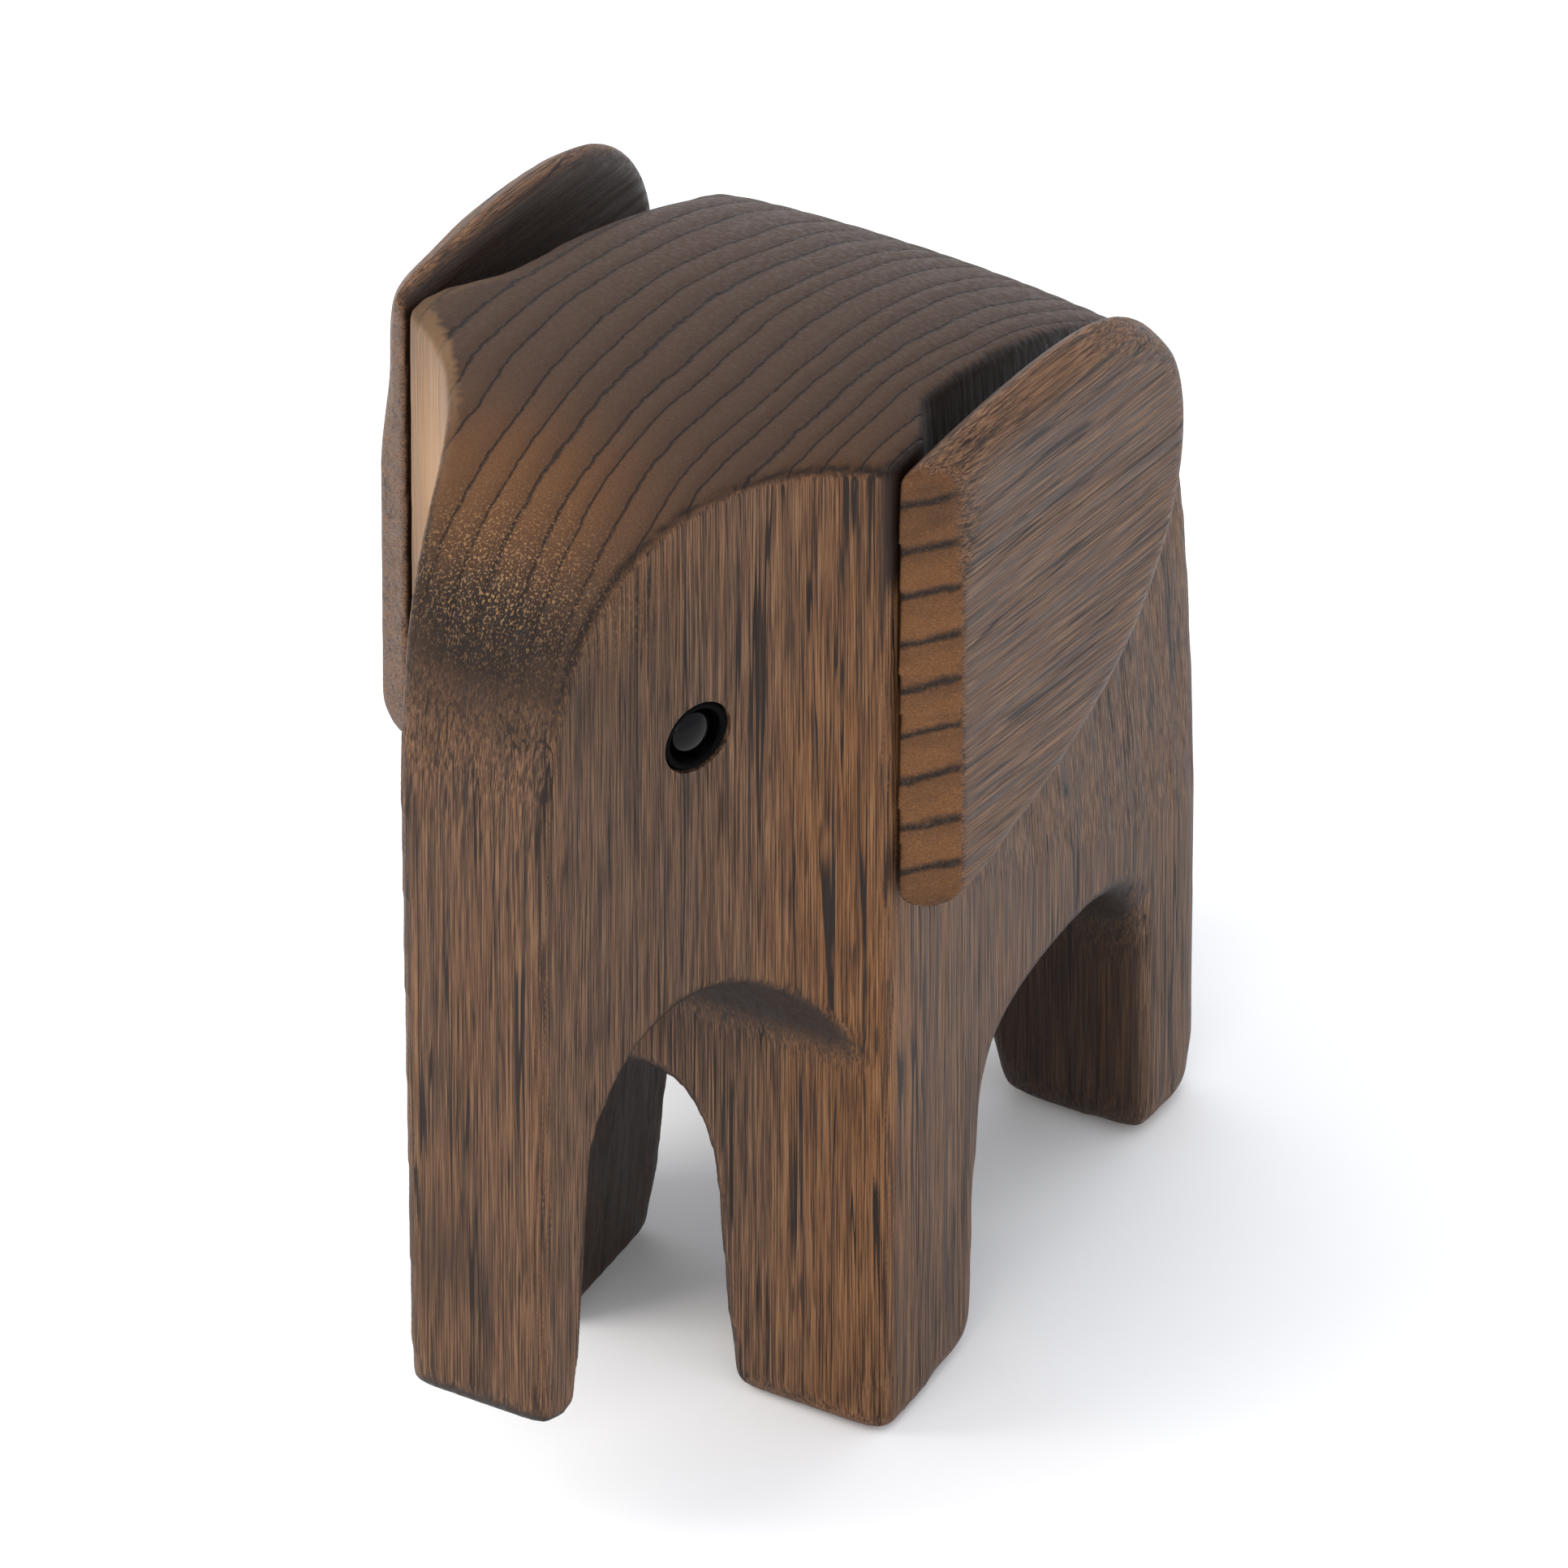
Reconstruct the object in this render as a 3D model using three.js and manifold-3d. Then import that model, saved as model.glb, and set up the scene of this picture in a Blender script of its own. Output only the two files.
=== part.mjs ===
// A carved wooden elephant that stands on its four feet.
// Millimetres, +Z up. The trunk faces -Y and the elephant's left side is +X.
// The origin is on the floor, under the middle of the bounding box.
// Inside the model, y is measured back from the flat front of the trunk.
import * as THREE from 'three';
import { mergeVertices } from 'three/addons/utils/BufferGeometryUtils.js';
import Module from 'manifold-3d';

const wasm = await Module();
wasm.setup();

// Body block, overall
const BODY_LENGTH = 84.5; // trunk front to rump
const BODY_HEIGHT = 100; // floor to crown
const BODY_WIDTH = 44.4; // across the pads that carry the ears
const RUMP_WIDTH = 43.8; // across the hind legs
const RUMP_CORNER_RADIUS = 4.5; // upright corners behind the hind legs
const CROWN_FALL = 2.4; // how much lower the back is at its sides than in the middle
const CROWN_STEPS = 7;
const CROWN_RIDGE = 0.5; // flat strip along the middle, to each side
const FLANK_LEAN = 0.059; // inward run of each flank per millimetre of height
const FLANK_TAPER = 0.033; // inward run of each flank per millimetre toward the rump
const FLANK_LEAN_HEIGHT = 50; // where the lean starts, behind the pads

// Head
const HEAD_LENGTH = 29.1; // trunk front to ear front
const CROWN_SETBACK = 24; // trunk front to the highest point
const BROW_DROP = 28; // crown down to where the forehead becomes straight
const PAD_LENGTH = 5.4; // flat behind the cheek that the ear is glued to
const PAD_RUNOUT = 5.3; // how far the pad's end slants back on its way in
const PAD_RUNOUT_DEPTH = 2.9; // from the pad's face to the end of that slant

// Back and rump
const SHOULDER_SETBACK = 18.5; // rump forward to where the back turns down
const SHOULDER_DROP = 11.7; // crown down to that turn
const RUMP_DROP = 50; // crown down to where the rump becomes straight
const RUMP_LEAN = 0.7; // how far the heel stands in front of the rump
const BROW_ARM = 20; // up the forehead; an arm is how far a curve sets off straight
const CROWN_FRONT_ARM = 18; // forward from the highest point
const CROWN_REAR_ARM = 14; // back from the highest point
const SHOULDER_SLOPE = 0.567; // fall of the back where it turns down
const SHOULDER_FRONT_ARM = 12;
const SHOULDER_REAR_ARM = 13.6;

// Trunk
const TRUNK_WIDTH = 13.7;
const TRUNK_DEPTH = 5.8; // front to back below the mouth
const TRUNK_TIP_DEPTH = 4.9;
const TRUNK_TIP_HEIGHT = 14; // floor to the free end
const TRUNK_TIP_RADIUS = 1.8;
const TRUNK_TIP_NARROWING = 0.1; // share of the width lost between mouth and tip
const TRUNK_FLARE = 2.6; // how much each side widens over the first part of the cheek
const CHEEK_FRONT_ARM = 0.38; // share of the head's length
const CHEEK_REAR_ARM = 0.26;
const CHEEK_SWELL = 1.6; // the cheek's width before the ear, in flares

// Mouth, the notch between the trunk and the front legs
const MOUTH_HEIGHT = 49.6;
const MOUTH_CENTRE = 16.8; // trunk front to the notch's highest point
const MOUTH_ARC_DROP = 12.5; // height of the notch's curved part
const MOUTH_LEG_ARM = 5.5; // up the front legs
const MOUTH_TOP_ARM = 5.2; // each way from the highest point
const MOUTH_TRUNK_ARM = 7.5; // up the back of the trunk

// Legs
const FRONT_LEG_SETBACK = 1.2; // ear front forward to the front legs
const FRONT_LEG_LENGTH = 14.8; // front to back at the floor
const HIND_LEG_LENGTH = 11.9; // front to back at the floor
const LEG_TAPER = 2.4; // how far the front legs widen toward the belly
const FOOT_RADIUS = 1.4; // rounding under the feet, front and back
const BELLY_HEIGHT = 30.9; // top of the arch between front and hind legs
const BELLY_ARC_DROP = 12; // height of the arch's curved part
const BELLY_HIND_ARM = 7.5; // up the hind legs
const BELLY_TOP_ARM = 8.8; // each way from the highest point
const BELLY_FRONT_ARM = 10; // up the front legs
const LEG_GAP_WIDTH = 18.4; // between left and right feet
const LEG_GAP_TOP_WIDTH = 14.4; // where the gap starts to close
const LEG_GAP_HEIGHT = 30.2;
const LEG_GAP_ARC_DROP = 8.2; // height of the gap's curved part
const LEG_GAP_SIDE_ARM = 5.5; // up each side
const LEG_GAP_ARC_LEAN = 0.6; // how far that arm leans in

// Ears
const EAR_LENGTH = 42.2;
const EAR_HEIGHT = 44.6; // along the front edge
const EAR_CROWN_DROP = 1.7; // crown down to the ear's front corner
const EAR_THICKNESS = 4.3;
const EAR_UPPER_CORNER = [8.1, 6.5]; // forward of the rear edge and below the top
const EAR_UPPER_SLOPE = 0.61;
const EAR_REAR_DROP = 20.5; // top down to the rearmost point
const EAR_LOWER_CORNER = [7.6, 8.3]; // forward of the rear edge and above the foot
const EAR_LOWER_SLOPE = 0.9;
const EAR_CORNER_ARM = 5.4; // each way along a corner's slope
const EAR_REAR_ARM = 6; // up and down from the rearmost point
const EAR_TOP_ARM = 16; // back along the top
const EAR_TOP_SAG = 0.8; // fall over that arm
const EAR_FOOT_FLAT = 5; // straight part of the foot
const EAR_FOOT_ARM = 14.4; // back from that part
const EAR_FRONT_BEVEL = 3.4; // how far the outer front edge sits behind the inner one
const EAR_RIM_RADIUS = 1.8;
const EAR_RIM_STEPS = 4;
const GLUE_GAP = 0.3; // glue line between ear and pad

// Eyes
const EYE_ALONG_CHEEK = 0.515; // share of the way from trunk to ear
const EYE_DROP = 24.1; // crown down to the eye's centre
const EYE_HOLE_DIAMETER = 6.6;
const EYE_HOLE_DEPTH = 5;
const EYE_FIT_GAP = 0.3; // between hole and cup, and between cup and bead
const EYE_CUP_WALL = 0.55;
const EYE_CUP_FLOOR = 1.3;
const EYE_CUP_RECESS = 0.4; // rim below the cheek
const EYE_BEAD_RECESS = 0.7; // dome's top below the cheek
const EYE_DOME_HEIGHT = 0.8;
const EYE_SIDES = 28;

const CURVE_STEPS = 10;
const OVERCUT = 4; // how far a cutting shape runs past what it cuts

const TRUNK_SIDE = TRUNK_WIDTH / 2;
const PAD_SIDE = BODY_WIDTH / 2;
const RUMP_SIDE = RUMP_WIDTH / 2;
const PAD_END = HEAD_LENGTH + PAD_LENGTH;
const FRONT_LEG_FRONT = HEAD_LENGTH - FRONT_LEG_SETBACK;
const FRONT_LEG_BACK = FRONT_LEG_FRONT + FRONT_LEG_LENGTH;
const HEEL = BODY_LENGTH - RUMP_LEAN;
const HIND_LEG_FRONT = HEEL - HIND_LEG_LENGTH;
const EAR_TOP = BODY_HEIGHT - EAR_CROWN_DROP;
const EAR_FOOT = EAR_TOP - EAR_HEIGHT;

const wood = { color: 0x6b4d38, roughness: 0.55, metalness: 0 };
const earWood = { color: 0x77583f, roughness: 0.58, metalness: 0 };
const blackCup = { color: 0x0a0a0b, roughness: 0.4, metalness: 0 };
const glassBead = { color: 0x141416, roughness: 0.08, metalness: 0 };

// Turns that lay a flat outline (u, v) into the model: side view, plan and front view.
const X_AXIS = new THREE.Vector3(1, 0, 0);
const Y_AXIS = new THREE.Vector3(0, 1, 0);
const Z_AXIS = new THREE.Vector3(0, 0, 1);
const SIDE_VIEW = new THREE.Matrix4().makeBasis(Y_AXIS, Z_AXIS, X_AXIS);
const PLAN_VIEW = new THREE.Matrix4();
const FRONT_VIEW = new THREE.Matrix4().makeBasis(X_AXIS, Z_AXIS, Y_AXIS.clone().negate());

function toSolid(geometry) {
  const bare = geometry.clone();
  bare.deleteAttribute('normal');
  bare.deleteAttribute('uv');
  const welded = mergeVertices(bare);
  return new wasm.Manifold(
    new wasm.Mesh({
      numProp: 3,
      vertProperties: welded.attributes.position.array,
      triVerts: new Uint32Array(welded.index.array),
    }),
  );
}

function toGeometry(solid, reshape = () => {}) {
  const mesh = solid.getMesh();
  const geometry = new THREE.BufferGeometry();
  geometry.setAttribute('position', new THREE.BufferAttribute(mesh.vertProperties, 3));
  geometry.setIndex(new THREE.BufferAttribute(mesh.triVerts, 1));
  reshape(geometry);
  const flat = geometry.toNonIndexed();
  flat.computeVertexNormals();
  return flat;
}

// Extrudes an outline from one depth to another, square to the given view.
function slab(shape, view, from, to, bevel = {}) {
  const inset = bevel.bevelThickness ?? 0;
  const geometry = new THREE.ExtrudeGeometry(shape, {
    depth: to - from - 2 * inset,
    curveSegments: CURVE_STEPS,
    bevelEnabled: inset > 0,
    ...bevel,
  });
  geometry.translate(0, 0, from + inset);
  return geometry.applyMatrix4(view);
}

function roundedEdge(radius, steps) {
  return { bevelThickness: radius, bevelSize: radius, bevelOffset: -radius, bevelSegments: steps };
}

function polygon(corners) {
  return new THREE.Shape(corners.map(([u, v]) => new THREE.Vector2(u, v)));
}

// The line over the forehead, the crown, the back and the rump, seen from the left.
function drawTopLine(shape) {
  const crown = BODY_HEIGHT;
  const shoulder = BODY_LENGTH - SHOULDER_SETBACK;
  const shoulderHeight = crown - SHOULDER_DROP;
  shape.bezierCurveTo(
    0, crown - BROW_DROP + BROW_ARM,
    CROWN_SETBACK - CROWN_FRONT_ARM, crown,
    CROWN_SETBACK, crown,
  );
  shape.bezierCurveTo(
    CROWN_SETBACK + CROWN_REAR_ARM, crown,
    shoulder - SHOULDER_FRONT_ARM, shoulderHeight + SHOULDER_FRONT_ARM * SHOULDER_SLOPE,
    shoulder, shoulderHeight,
  );
  shape.bezierCurveTo(
    shoulder + SHOULDER_REAR_ARM, shoulderHeight - SHOULDER_REAR_ARM * SHOULDER_SLOPE,
    BODY_LENGTH, crown - RUMP_DROP / 2,
    BODY_LENGTH, crown - RUMP_DROP,
  );
}

// The whole silhouette from the left: trunk, head, back, four legs, mouth and belly arch.
function sideOutline() {
  const mouthLow = MOUTH_HEIGHT - MOUTH_ARC_DROP;
  const bellyLow = BELLY_HEIGHT - BELLY_ARC_DROP;
  const bellyFront = FRONT_LEG_BACK + LEG_TAPER;
  const bellyMiddle = (bellyFront + HIND_LEG_FRONT) / 2;
  const tip = TRUNK_TIP_HEIGHT;
  const shape = new THREE.Shape();
  shape.moveTo(0, tip + TRUNK_TIP_RADIUS);
  shape.lineTo(0, BODY_HEIGHT - BROW_DROP);
  drawTopLine(shape);
  shape.lineTo(HEEL, FOOT_RADIUS);
  shape.quadraticCurveTo(HEEL, 0, HEEL - FOOT_RADIUS, 0);
  shape.lineTo(HIND_LEG_FRONT + FOOT_RADIUS, 0);
  shape.quadraticCurveTo(HIND_LEG_FRONT, 0, HIND_LEG_FRONT, FOOT_RADIUS);
  shape.lineTo(HIND_LEG_FRONT, bellyLow);
  shape.bezierCurveTo(
    HIND_LEG_FRONT, bellyLow + BELLY_HIND_ARM,
    bellyMiddle + BELLY_TOP_ARM, BELLY_HEIGHT,
    bellyMiddle, BELLY_HEIGHT,
  );
  shape.bezierCurveTo(
    bellyMiddle - BELLY_TOP_ARM, BELLY_HEIGHT,
    bellyFront, bellyLow + BELLY_FRONT_ARM,
    bellyFront, bellyLow,
  );
  shape.lineTo(FRONT_LEG_BACK, FOOT_RADIUS);
  shape.quadraticCurveTo(FRONT_LEG_BACK, 0, FRONT_LEG_BACK - FOOT_RADIUS, 0);
  shape.lineTo(FRONT_LEG_FRONT + FOOT_RADIUS, 0);
  shape.quadraticCurveTo(FRONT_LEG_FRONT, 0, FRONT_LEG_FRONT, FOOT_RADIUS);
  shape.lineTo(FRONT_LEG_FRONT, mouthLow);
  shape.bezierCurveTo(
    FRONT_LEG_FRONT, mouthLow + MOUTH_LEG_ARM,
    MOUTH_CENTRE + MOUTH_TOP_ARM, MOUTH_HEIGHT,
    MOUTH_CENTRE, MOUTH_HEIGHT,
  );
  shape.bezierCurveTo(
    MOUTH_CENTRE - MOUTH_TOP_ARM, MOUTH_HEIGHT,
    TRUNK_DEPTH, mouthLow + MOUTH_TRUNK_ARM,
    TRUNK_DEPTH, mouthLow,
  );
  shape.lineTo(TRUNK_TIP_DEPTH, tip + TRUNK_TIP_RADIUS);
  shape.quadraticCurveTo(TRUNK_TIP_DEPTH, tip, TRUNK_TIP_DEPTH - TRUNK_TIP_RADIUS, tip);
  shape.lineTo(TRUNK_TIP_RADIUS, tip);
  shape.quadraticCurveTo(0, tip, 0, tip + TRUNK_TIP_RADIUS);
  return shape;
}

// The left cheek in plan, hollowed between the trunk's corner and the ear.
function cheekCurve() {
  return new THREE.CubicBezierCurve(
    new THREE.Vector2(TRUNK_SIDE, 0),
    new THREE.Vector2(TRUNK_SIDE + TRUNK_FLARE, HEAD_LENGTH * CHEEK_FRONT_ARM),
    new THREE.Vector2(TRUNK_SIDE + TRUNK_FLARE * CHEEK_SWELL, HEAD_LENGTH * (1 - CHEEK_REAR_ARM)),
    new THREE.Vector2(PAD_SIDE, HEAD_LENGTH),
  );
}

// Body in plan: both cheeks, the pads behind them, and the flanks to the rounded rump corners.
function bodyPlan() {
  const corner = RUMP_CORNER_RADIUS;
  const cheek = cheekCurve().getPoints(2 * CURVE_STEPS);
  const shape = new THREE.Shape(cheek);
  shape.lineTo(PAD_SIDE, PAD_END);
  shape.lineTo(RUMP_SIDE, BODY_LENGTH - corner);
  shape.absarc(RUMP_SIDE - corner, BODY_LENGTH - corner, corner, 0, Math.PI / 2);
  shape.absarc(corner - RUMP_SIDE, BODY_LENGTH - corner, corner, Math.PI / 2, Math.PI);
  shape.lineTo(-PAD_SIDE, PAD_END);
  for (const point of cheek.reverse()) {
    shape.lineTo(-point.x, point.y);
  }
  return shape;
}

// Back and rump from the side, continued below the floor so that no rounding reaches the feet.
function backOutline() {
  const shape = new THREE.Shape();
  shape.moveTo(0, -OVERCUT);
  shape.lineTo(0, BODY_HEIGHT - BROW_DROP);
  drawTopLine(shape);
  shape.lineTo(HEEL, -OVERCUT);
  return shape;
}

// The whole back, crowned from side to side.
function crownedBack() {
  const half = PAD_SIDE + 2 * CROWN_RIDGE;
  const crown = {
    bevelThickness: half - CROWN_RIDGE,
    bevelSize: CROWN_FALL,
    bevelOffset: -CROWN_FALL,
    bevelSegments: CROWN_STEPS,
  };
  return toSolid(slab(backOutline(), SIDE_VIEW, -half, half, crown));
}

// The left half of the body behind the pad, where the flank leans in toward the back.
function leaningFlank() {
  const geometry = slab(backOutline(), SIDE_VIEW, -PAD_SIDE / 2, PAD_SIDE);
  const shift = FLANK_LEAN * FLANK_LEAN_HEIGHT + FLANK_TAPER * PAD_END;
  const lean = new THREE.Matrix4().set(
    1, -FLANK_TAPER, -FLANK_LEAN, shift,
    0, 1, 0, 0,
    0, 0, 1, 0,
    0, 0, 0, 1,
  );
  return toSolid(geometry.applyMatrix4(lean));
}

// Everything in front of the pads' slanted rear ends, where the full width stays.
function headRegion() {
  const wide = PAD_SIDE + OVERCUT;
  const inner = PAD_SIDE - PAD_RUNOUT_DEPTH;
  return polygon([
    [-wide, -OVERCUT],
    [wide, -OVERCUT],
    [wide, PAD_END],
    [PAD_SIDE, PAD_END],
    [inner, PAD_END + PAD_RUNOUT],
    [-inner, PAD_END + PAD_RUNOUT],
    [-PAD_SIDE, PAD_END],
    [-wide, PAD_END],
  ]);
}

// Opening between the left and right legs, from inside the mouth to behind the rump.
function legGap() {
  const shape = new THREE.Shape();
  const half = LEG_GAP_TOP_WIDTH / 2;
  const leaned = half - LEG_GAP_ARC_LEAN;
  const top = LEG_GAP_HEIGHT;
  const arcStart = top - LEG_GAP_ARC_DROP;
  const armEnd = arcStart + LEG_GAP_SIDE_ARM;
  shape.moveTo(-LEG_GAP_WIDTH / 2, -OVERCUT);
  shape.lineTo(LEG_GAP_WIDTH / 2, -OVERCUT);
  shape.lineTo(half, arcStart);
  shape.bezierCurveTo(leaned, armEnd, half / 2, top, 0, top);
  shape.bezierCurveTo(-half / 2, top, -leaned, armEnd, -half, arcStart);
  return toSolid(slab(shape, FRONT_VIEW, -(BODY_LENGTH + OVERCUT), -MOUTH_CENTRE));
}

// Place of an eye: on the cheek, with the local +Y axis square to the wood.
function eyePlace(side) {
  const cheek = cheekCurve();
  const point = cheek.getPoint(EYE_ALONG_CHEEK);
  const along = cheek.getTangent(EYE_ALONG_CHEEK);
  const outward = new THREE.Vector3(side * along.y, -along.x, 0);
  const place = new THREE.Object3D();
  place.position.set(side * point.x, point.y, BODY_HEIGHT - EYE_DROP);
  place.quaternion.setFromUnitVectors(Y_AXIS, outward);
  place.updateMatrix();
  return place;
}

function eyeHole(side) {
  const radius = EYE_HOLE_DIAMETER / 2;
  const geometry = new THREE.CylinderGeometry(radius, radius, EYE_HOLE_DEPTH + OVERCUT, EYE_SIDES);
  geometry.translate(0, (OVERCUT - EYE_HOLE_DEPTH) / 2, 0);
  return toSolid(geometry.applyMatrix4(eyePlace(side).matrix));
}

// Narrows the trunk's free end: points below the mouth move in, the tip's most of all.
function taperTrunk(geometry) {
  const positions = geometry.attributes.position;
  for (let i = 0; i < positions.count; i += 1) {
    const below = (MOUTH_HEIGHT - positions.getZ(i)) / (MOUTH_HEIGHT - TRUNK_TIP_HEIGHT);
    if (positions.getY(i) < 2 * TRUNK_DEPTH && below > 0) {
      positions.setX(i, positions.getX(i) * (1 - TRUNK_TIP_NARROWING * below));
    }
  }
}

function bodyGeometry() {
  const silhouette = toSolid(slab(sideOutline(), SIDE_VIEW, -PAD_SIDE - OVERCUT, PAD_SIDE + OVERCUT));
  const plan = toSolid(slab(bodyPlan(), PLAN_VIEW, -OVERCUT, BODY_HEIGHT + OVERCUT));
  const head = toSolid(slab(headRegion(), PLAN_VIEW, -OVERCUT, BODY_HEIGHT + OVERCUT));
  const leftFlank = leaningFlank();
  const stock = head.add(leftFlank).add(leftFlank.mirror([1, 0, 0])).intersect(plan);
  const body = silhouette.intersect(crownedBack()).intersect(stock).subtract(legGap());
  const drilled = body.subtract(eyeHole(1)).subtract(eyeHole(-1));
  return toGeometry(drilled, taperTrunk);
}

// Runs a curve to a corner of the ear's rim. The corner slopes by rise for each millimetre forward.
function drawEarCorner(shape, startArm, corner, rise, endArm, end) {
  const [u, v] = corner;
  const arm = EAR_CORNER_ARM;
  shape.bezierCurveTo(...startArm, u - arm * rise.way, v + arm * rise.first, u, v);
  shape.bezierCurveTo(u + arm * rise.way, v + arm * rise.last, ...endArm, ...end);
}

// The ear from the side. It starts in front of the pad, where its bevel is then cut.
function earOutline() {
  const front = HEAD_LENGTH - EAR_RIM_RADIUS;
  const rear = HEAD_LENGTH + EAR_LENGTH;
  const middle = EAR_TOP - EAR_REAR_DROP;
  const [upperIn, upperDrop] = EAR_UPPER_CORNER;
  const [lowerIn, lowerRise] = EAR_LOWER_CORNER;
  const upper = [rear - upperIn, EAR_TOP - upperDrop];
  const lower = [rear - lowerIn, EAR_FOOT + lowerRise];
  const foot = front + EAR_FOOT_FLAT;
  const fall = { way: 1, first: EAR_UPPER_SLOPE, last: -EAR_UPPER_SLOPE };
  const climb = { way: -1, first: EAR_LOWER_SLOPE, last: -EAR_LOWER_SLOPE };
  const shape = new THREE.Shape();
  shape.moveTo(front, EAR_FOOT);
  shape.lineTo(front, EAR_TOP);
  drawEarCorner(
    shape, [front + EAR_TOP_ARM, EAR_TOP - EAR_TOP_SAG], upper, fall,
    [rear, middle + EAR_REAR_ARM], [rear, middle],
  );
  drawEarCorner(
    shape, [rear, middle - EAR_REAR_ARM], lower, climb,
    [foot + EAR_FOOT_ARM, EAR_FOOT], [foot, EAR_FOOT],
  );
  return shape;
}

// The wood taken off the ear's front edge, in plan, so that it faces half sideways.
function earBevelPlan() {
  const inner = PAD_SIDE + GLUE_GAP;
  const slope = EAR_FRONT_BEVEL / EAR_THICKNESS;
  return polygon([
    [inner - OVERCUT, HEAD_LENGTH - 2 * OVERCUT],
    [inner + EAR_THICKNESS + OVERCUT, HEAD_LENGTH - 2 * OVERCUT],
    [inner + EAR_THICKNESS + OVERCUT, HEAD_LENGTH + EAR_FRONT_BEVEL + OVERCUT * slope],
    [inner, HEAD_LENGTH],
    [inner - OVERCUT, HEAD_LENGTH],
  ]);
}

function earGeometry(side) {
  const inner = PAD_SIDE + GLUE_GAP;
  const rim = roundedEdge(EAR_RIM_RADIUS, EAR_RIM_STEPS);
  const blank = toSolid(slab(earOutline(), SIDE_VIEW, inner, inner + EAR_THICKNESS, rim));
  const bevel = toSolid(slab(earBevelPlan(), PLAN_VIEW, 0, BODY_HEIGHT + OVERCUT));
  const left = blank.subtract(bevel);
  return toGeometry(side > 0 ? left : left.mirror([1, 0, 0]));
}

function eyeCupGeometry() {
  const outer = EYE_HOLE_DIAMETER / 2 - EYE_FIT_GAP;
  const inner = outer - EYE_CUP_WALL;
  const bottom = EYE_FIT_GAP - EYE_HOLE_DEPTH;
  const profile = [
    [0, bottom],
    [outer, bottom],
    [outer, -EYE_CUP_RECESS],
    [inner, -EYE_CUP_RECESS],
    [inner, bottom + EYE_CUP_FLOOR],
    [0, bottom + EYE_CUP_FLOOR],
  ];
  return new THREE.LatheGeometry(profile.map(([r, h]) => new THREE.Vector2(r, h)), EYE_SIDES);
}

function eyeBeadGeometry() {
  const radius = EYE_HOLE_DIAMETER / 2 - 2 * EYE_FIT_GAP - EYE_CUP_WALL;
  const bottom = 2 * EYE_FIT_GAP + EYE_CUP_FLOOR - EYE_HOLE_DEPTH;
  const shoulder = -EYE_BEAD_RECESS - EYE_DOME_HEIGHT;
  const dome = new THREE.EllipseCurve(0, shoulder, radius, EYE_DOME_HEIGHT, 0, Math.PI / 2);
  const profile = [new THREE.Vector2(0, bottom), new THREE.Vector2(radius, bottom)];
  for (const point of dome.getPoints(CURVE_STEPS / 2)) {
    profile.push(new THREE.Vector2(Math.max(point.x, 0), point.y));
  }
  profile[profile.length - 1].x = 0;
  return new THREE.LatheGeometry(profile, EYE_SIDES);
}

function addMesh(group, name, geometry, finish) {
  const mesh = new THREE.Mesh(geometry, new THREE.MeshStandardMaterial(finish));
  mesh.name = name;
  group.add(mesh);
}

function addSide(group, name, side) {
  addMesh(group, `${name}_ear`, earGeometry(side), earWood);
  const eye = new THREE.Group();
  const place = eyePlace(side);
  eye.position.copy(place.position);
  eye.quaternion.copy(place.quaternion);
  addMesh(eye, `${name}_eye_cup`, eyeCupGeometry(), blackCup);
  addMesh(eye, `${name}_eye_bead`, eyeBeadGeometry(), glassBead);
  group.add(eye);
}

function buildElephant() {
  const elephant = new THREE.Group();
  addMesh(elephant, 'body_block', bodyGeometry(), wood);
  addSide(elephant, 'left', 1);
  addSide(elephant, 'right', -1);
  elephant.position.y = -BODY_LENGTH / 2;
  return elephant;
}

export default buildElephant();
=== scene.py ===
"""Dresses the carved wooden elephant: sanded oak, growth rings, end grain and set-in eyes."""

import logging
import math
from collections.abc import Callable
from dataclasses import dataclass
from enum import Enum

import bmesh
import bpy
import numpy as np
from mathutils import Euler, Matrix, Vector, noise


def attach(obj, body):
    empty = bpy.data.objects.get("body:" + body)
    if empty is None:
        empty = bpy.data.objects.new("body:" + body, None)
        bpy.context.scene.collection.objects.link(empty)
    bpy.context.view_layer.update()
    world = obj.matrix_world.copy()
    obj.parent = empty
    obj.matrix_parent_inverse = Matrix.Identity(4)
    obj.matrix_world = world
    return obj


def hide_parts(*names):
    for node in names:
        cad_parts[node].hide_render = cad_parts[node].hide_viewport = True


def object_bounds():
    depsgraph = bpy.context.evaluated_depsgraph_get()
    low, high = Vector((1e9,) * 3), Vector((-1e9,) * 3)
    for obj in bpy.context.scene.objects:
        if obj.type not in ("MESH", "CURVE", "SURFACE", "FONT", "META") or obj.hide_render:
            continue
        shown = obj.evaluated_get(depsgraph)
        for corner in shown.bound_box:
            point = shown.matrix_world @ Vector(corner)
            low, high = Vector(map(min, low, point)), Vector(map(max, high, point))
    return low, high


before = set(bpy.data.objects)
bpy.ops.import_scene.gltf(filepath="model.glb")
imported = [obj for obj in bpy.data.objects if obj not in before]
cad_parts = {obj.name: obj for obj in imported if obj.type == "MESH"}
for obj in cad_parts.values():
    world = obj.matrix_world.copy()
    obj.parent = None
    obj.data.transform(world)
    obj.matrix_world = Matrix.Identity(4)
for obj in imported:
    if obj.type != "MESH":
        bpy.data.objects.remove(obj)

CAD_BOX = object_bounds()
LOG = logging.getLogger("elephant")
Piece = bpy.types.Object
Socket = bpy.types.NodeSocket

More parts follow.
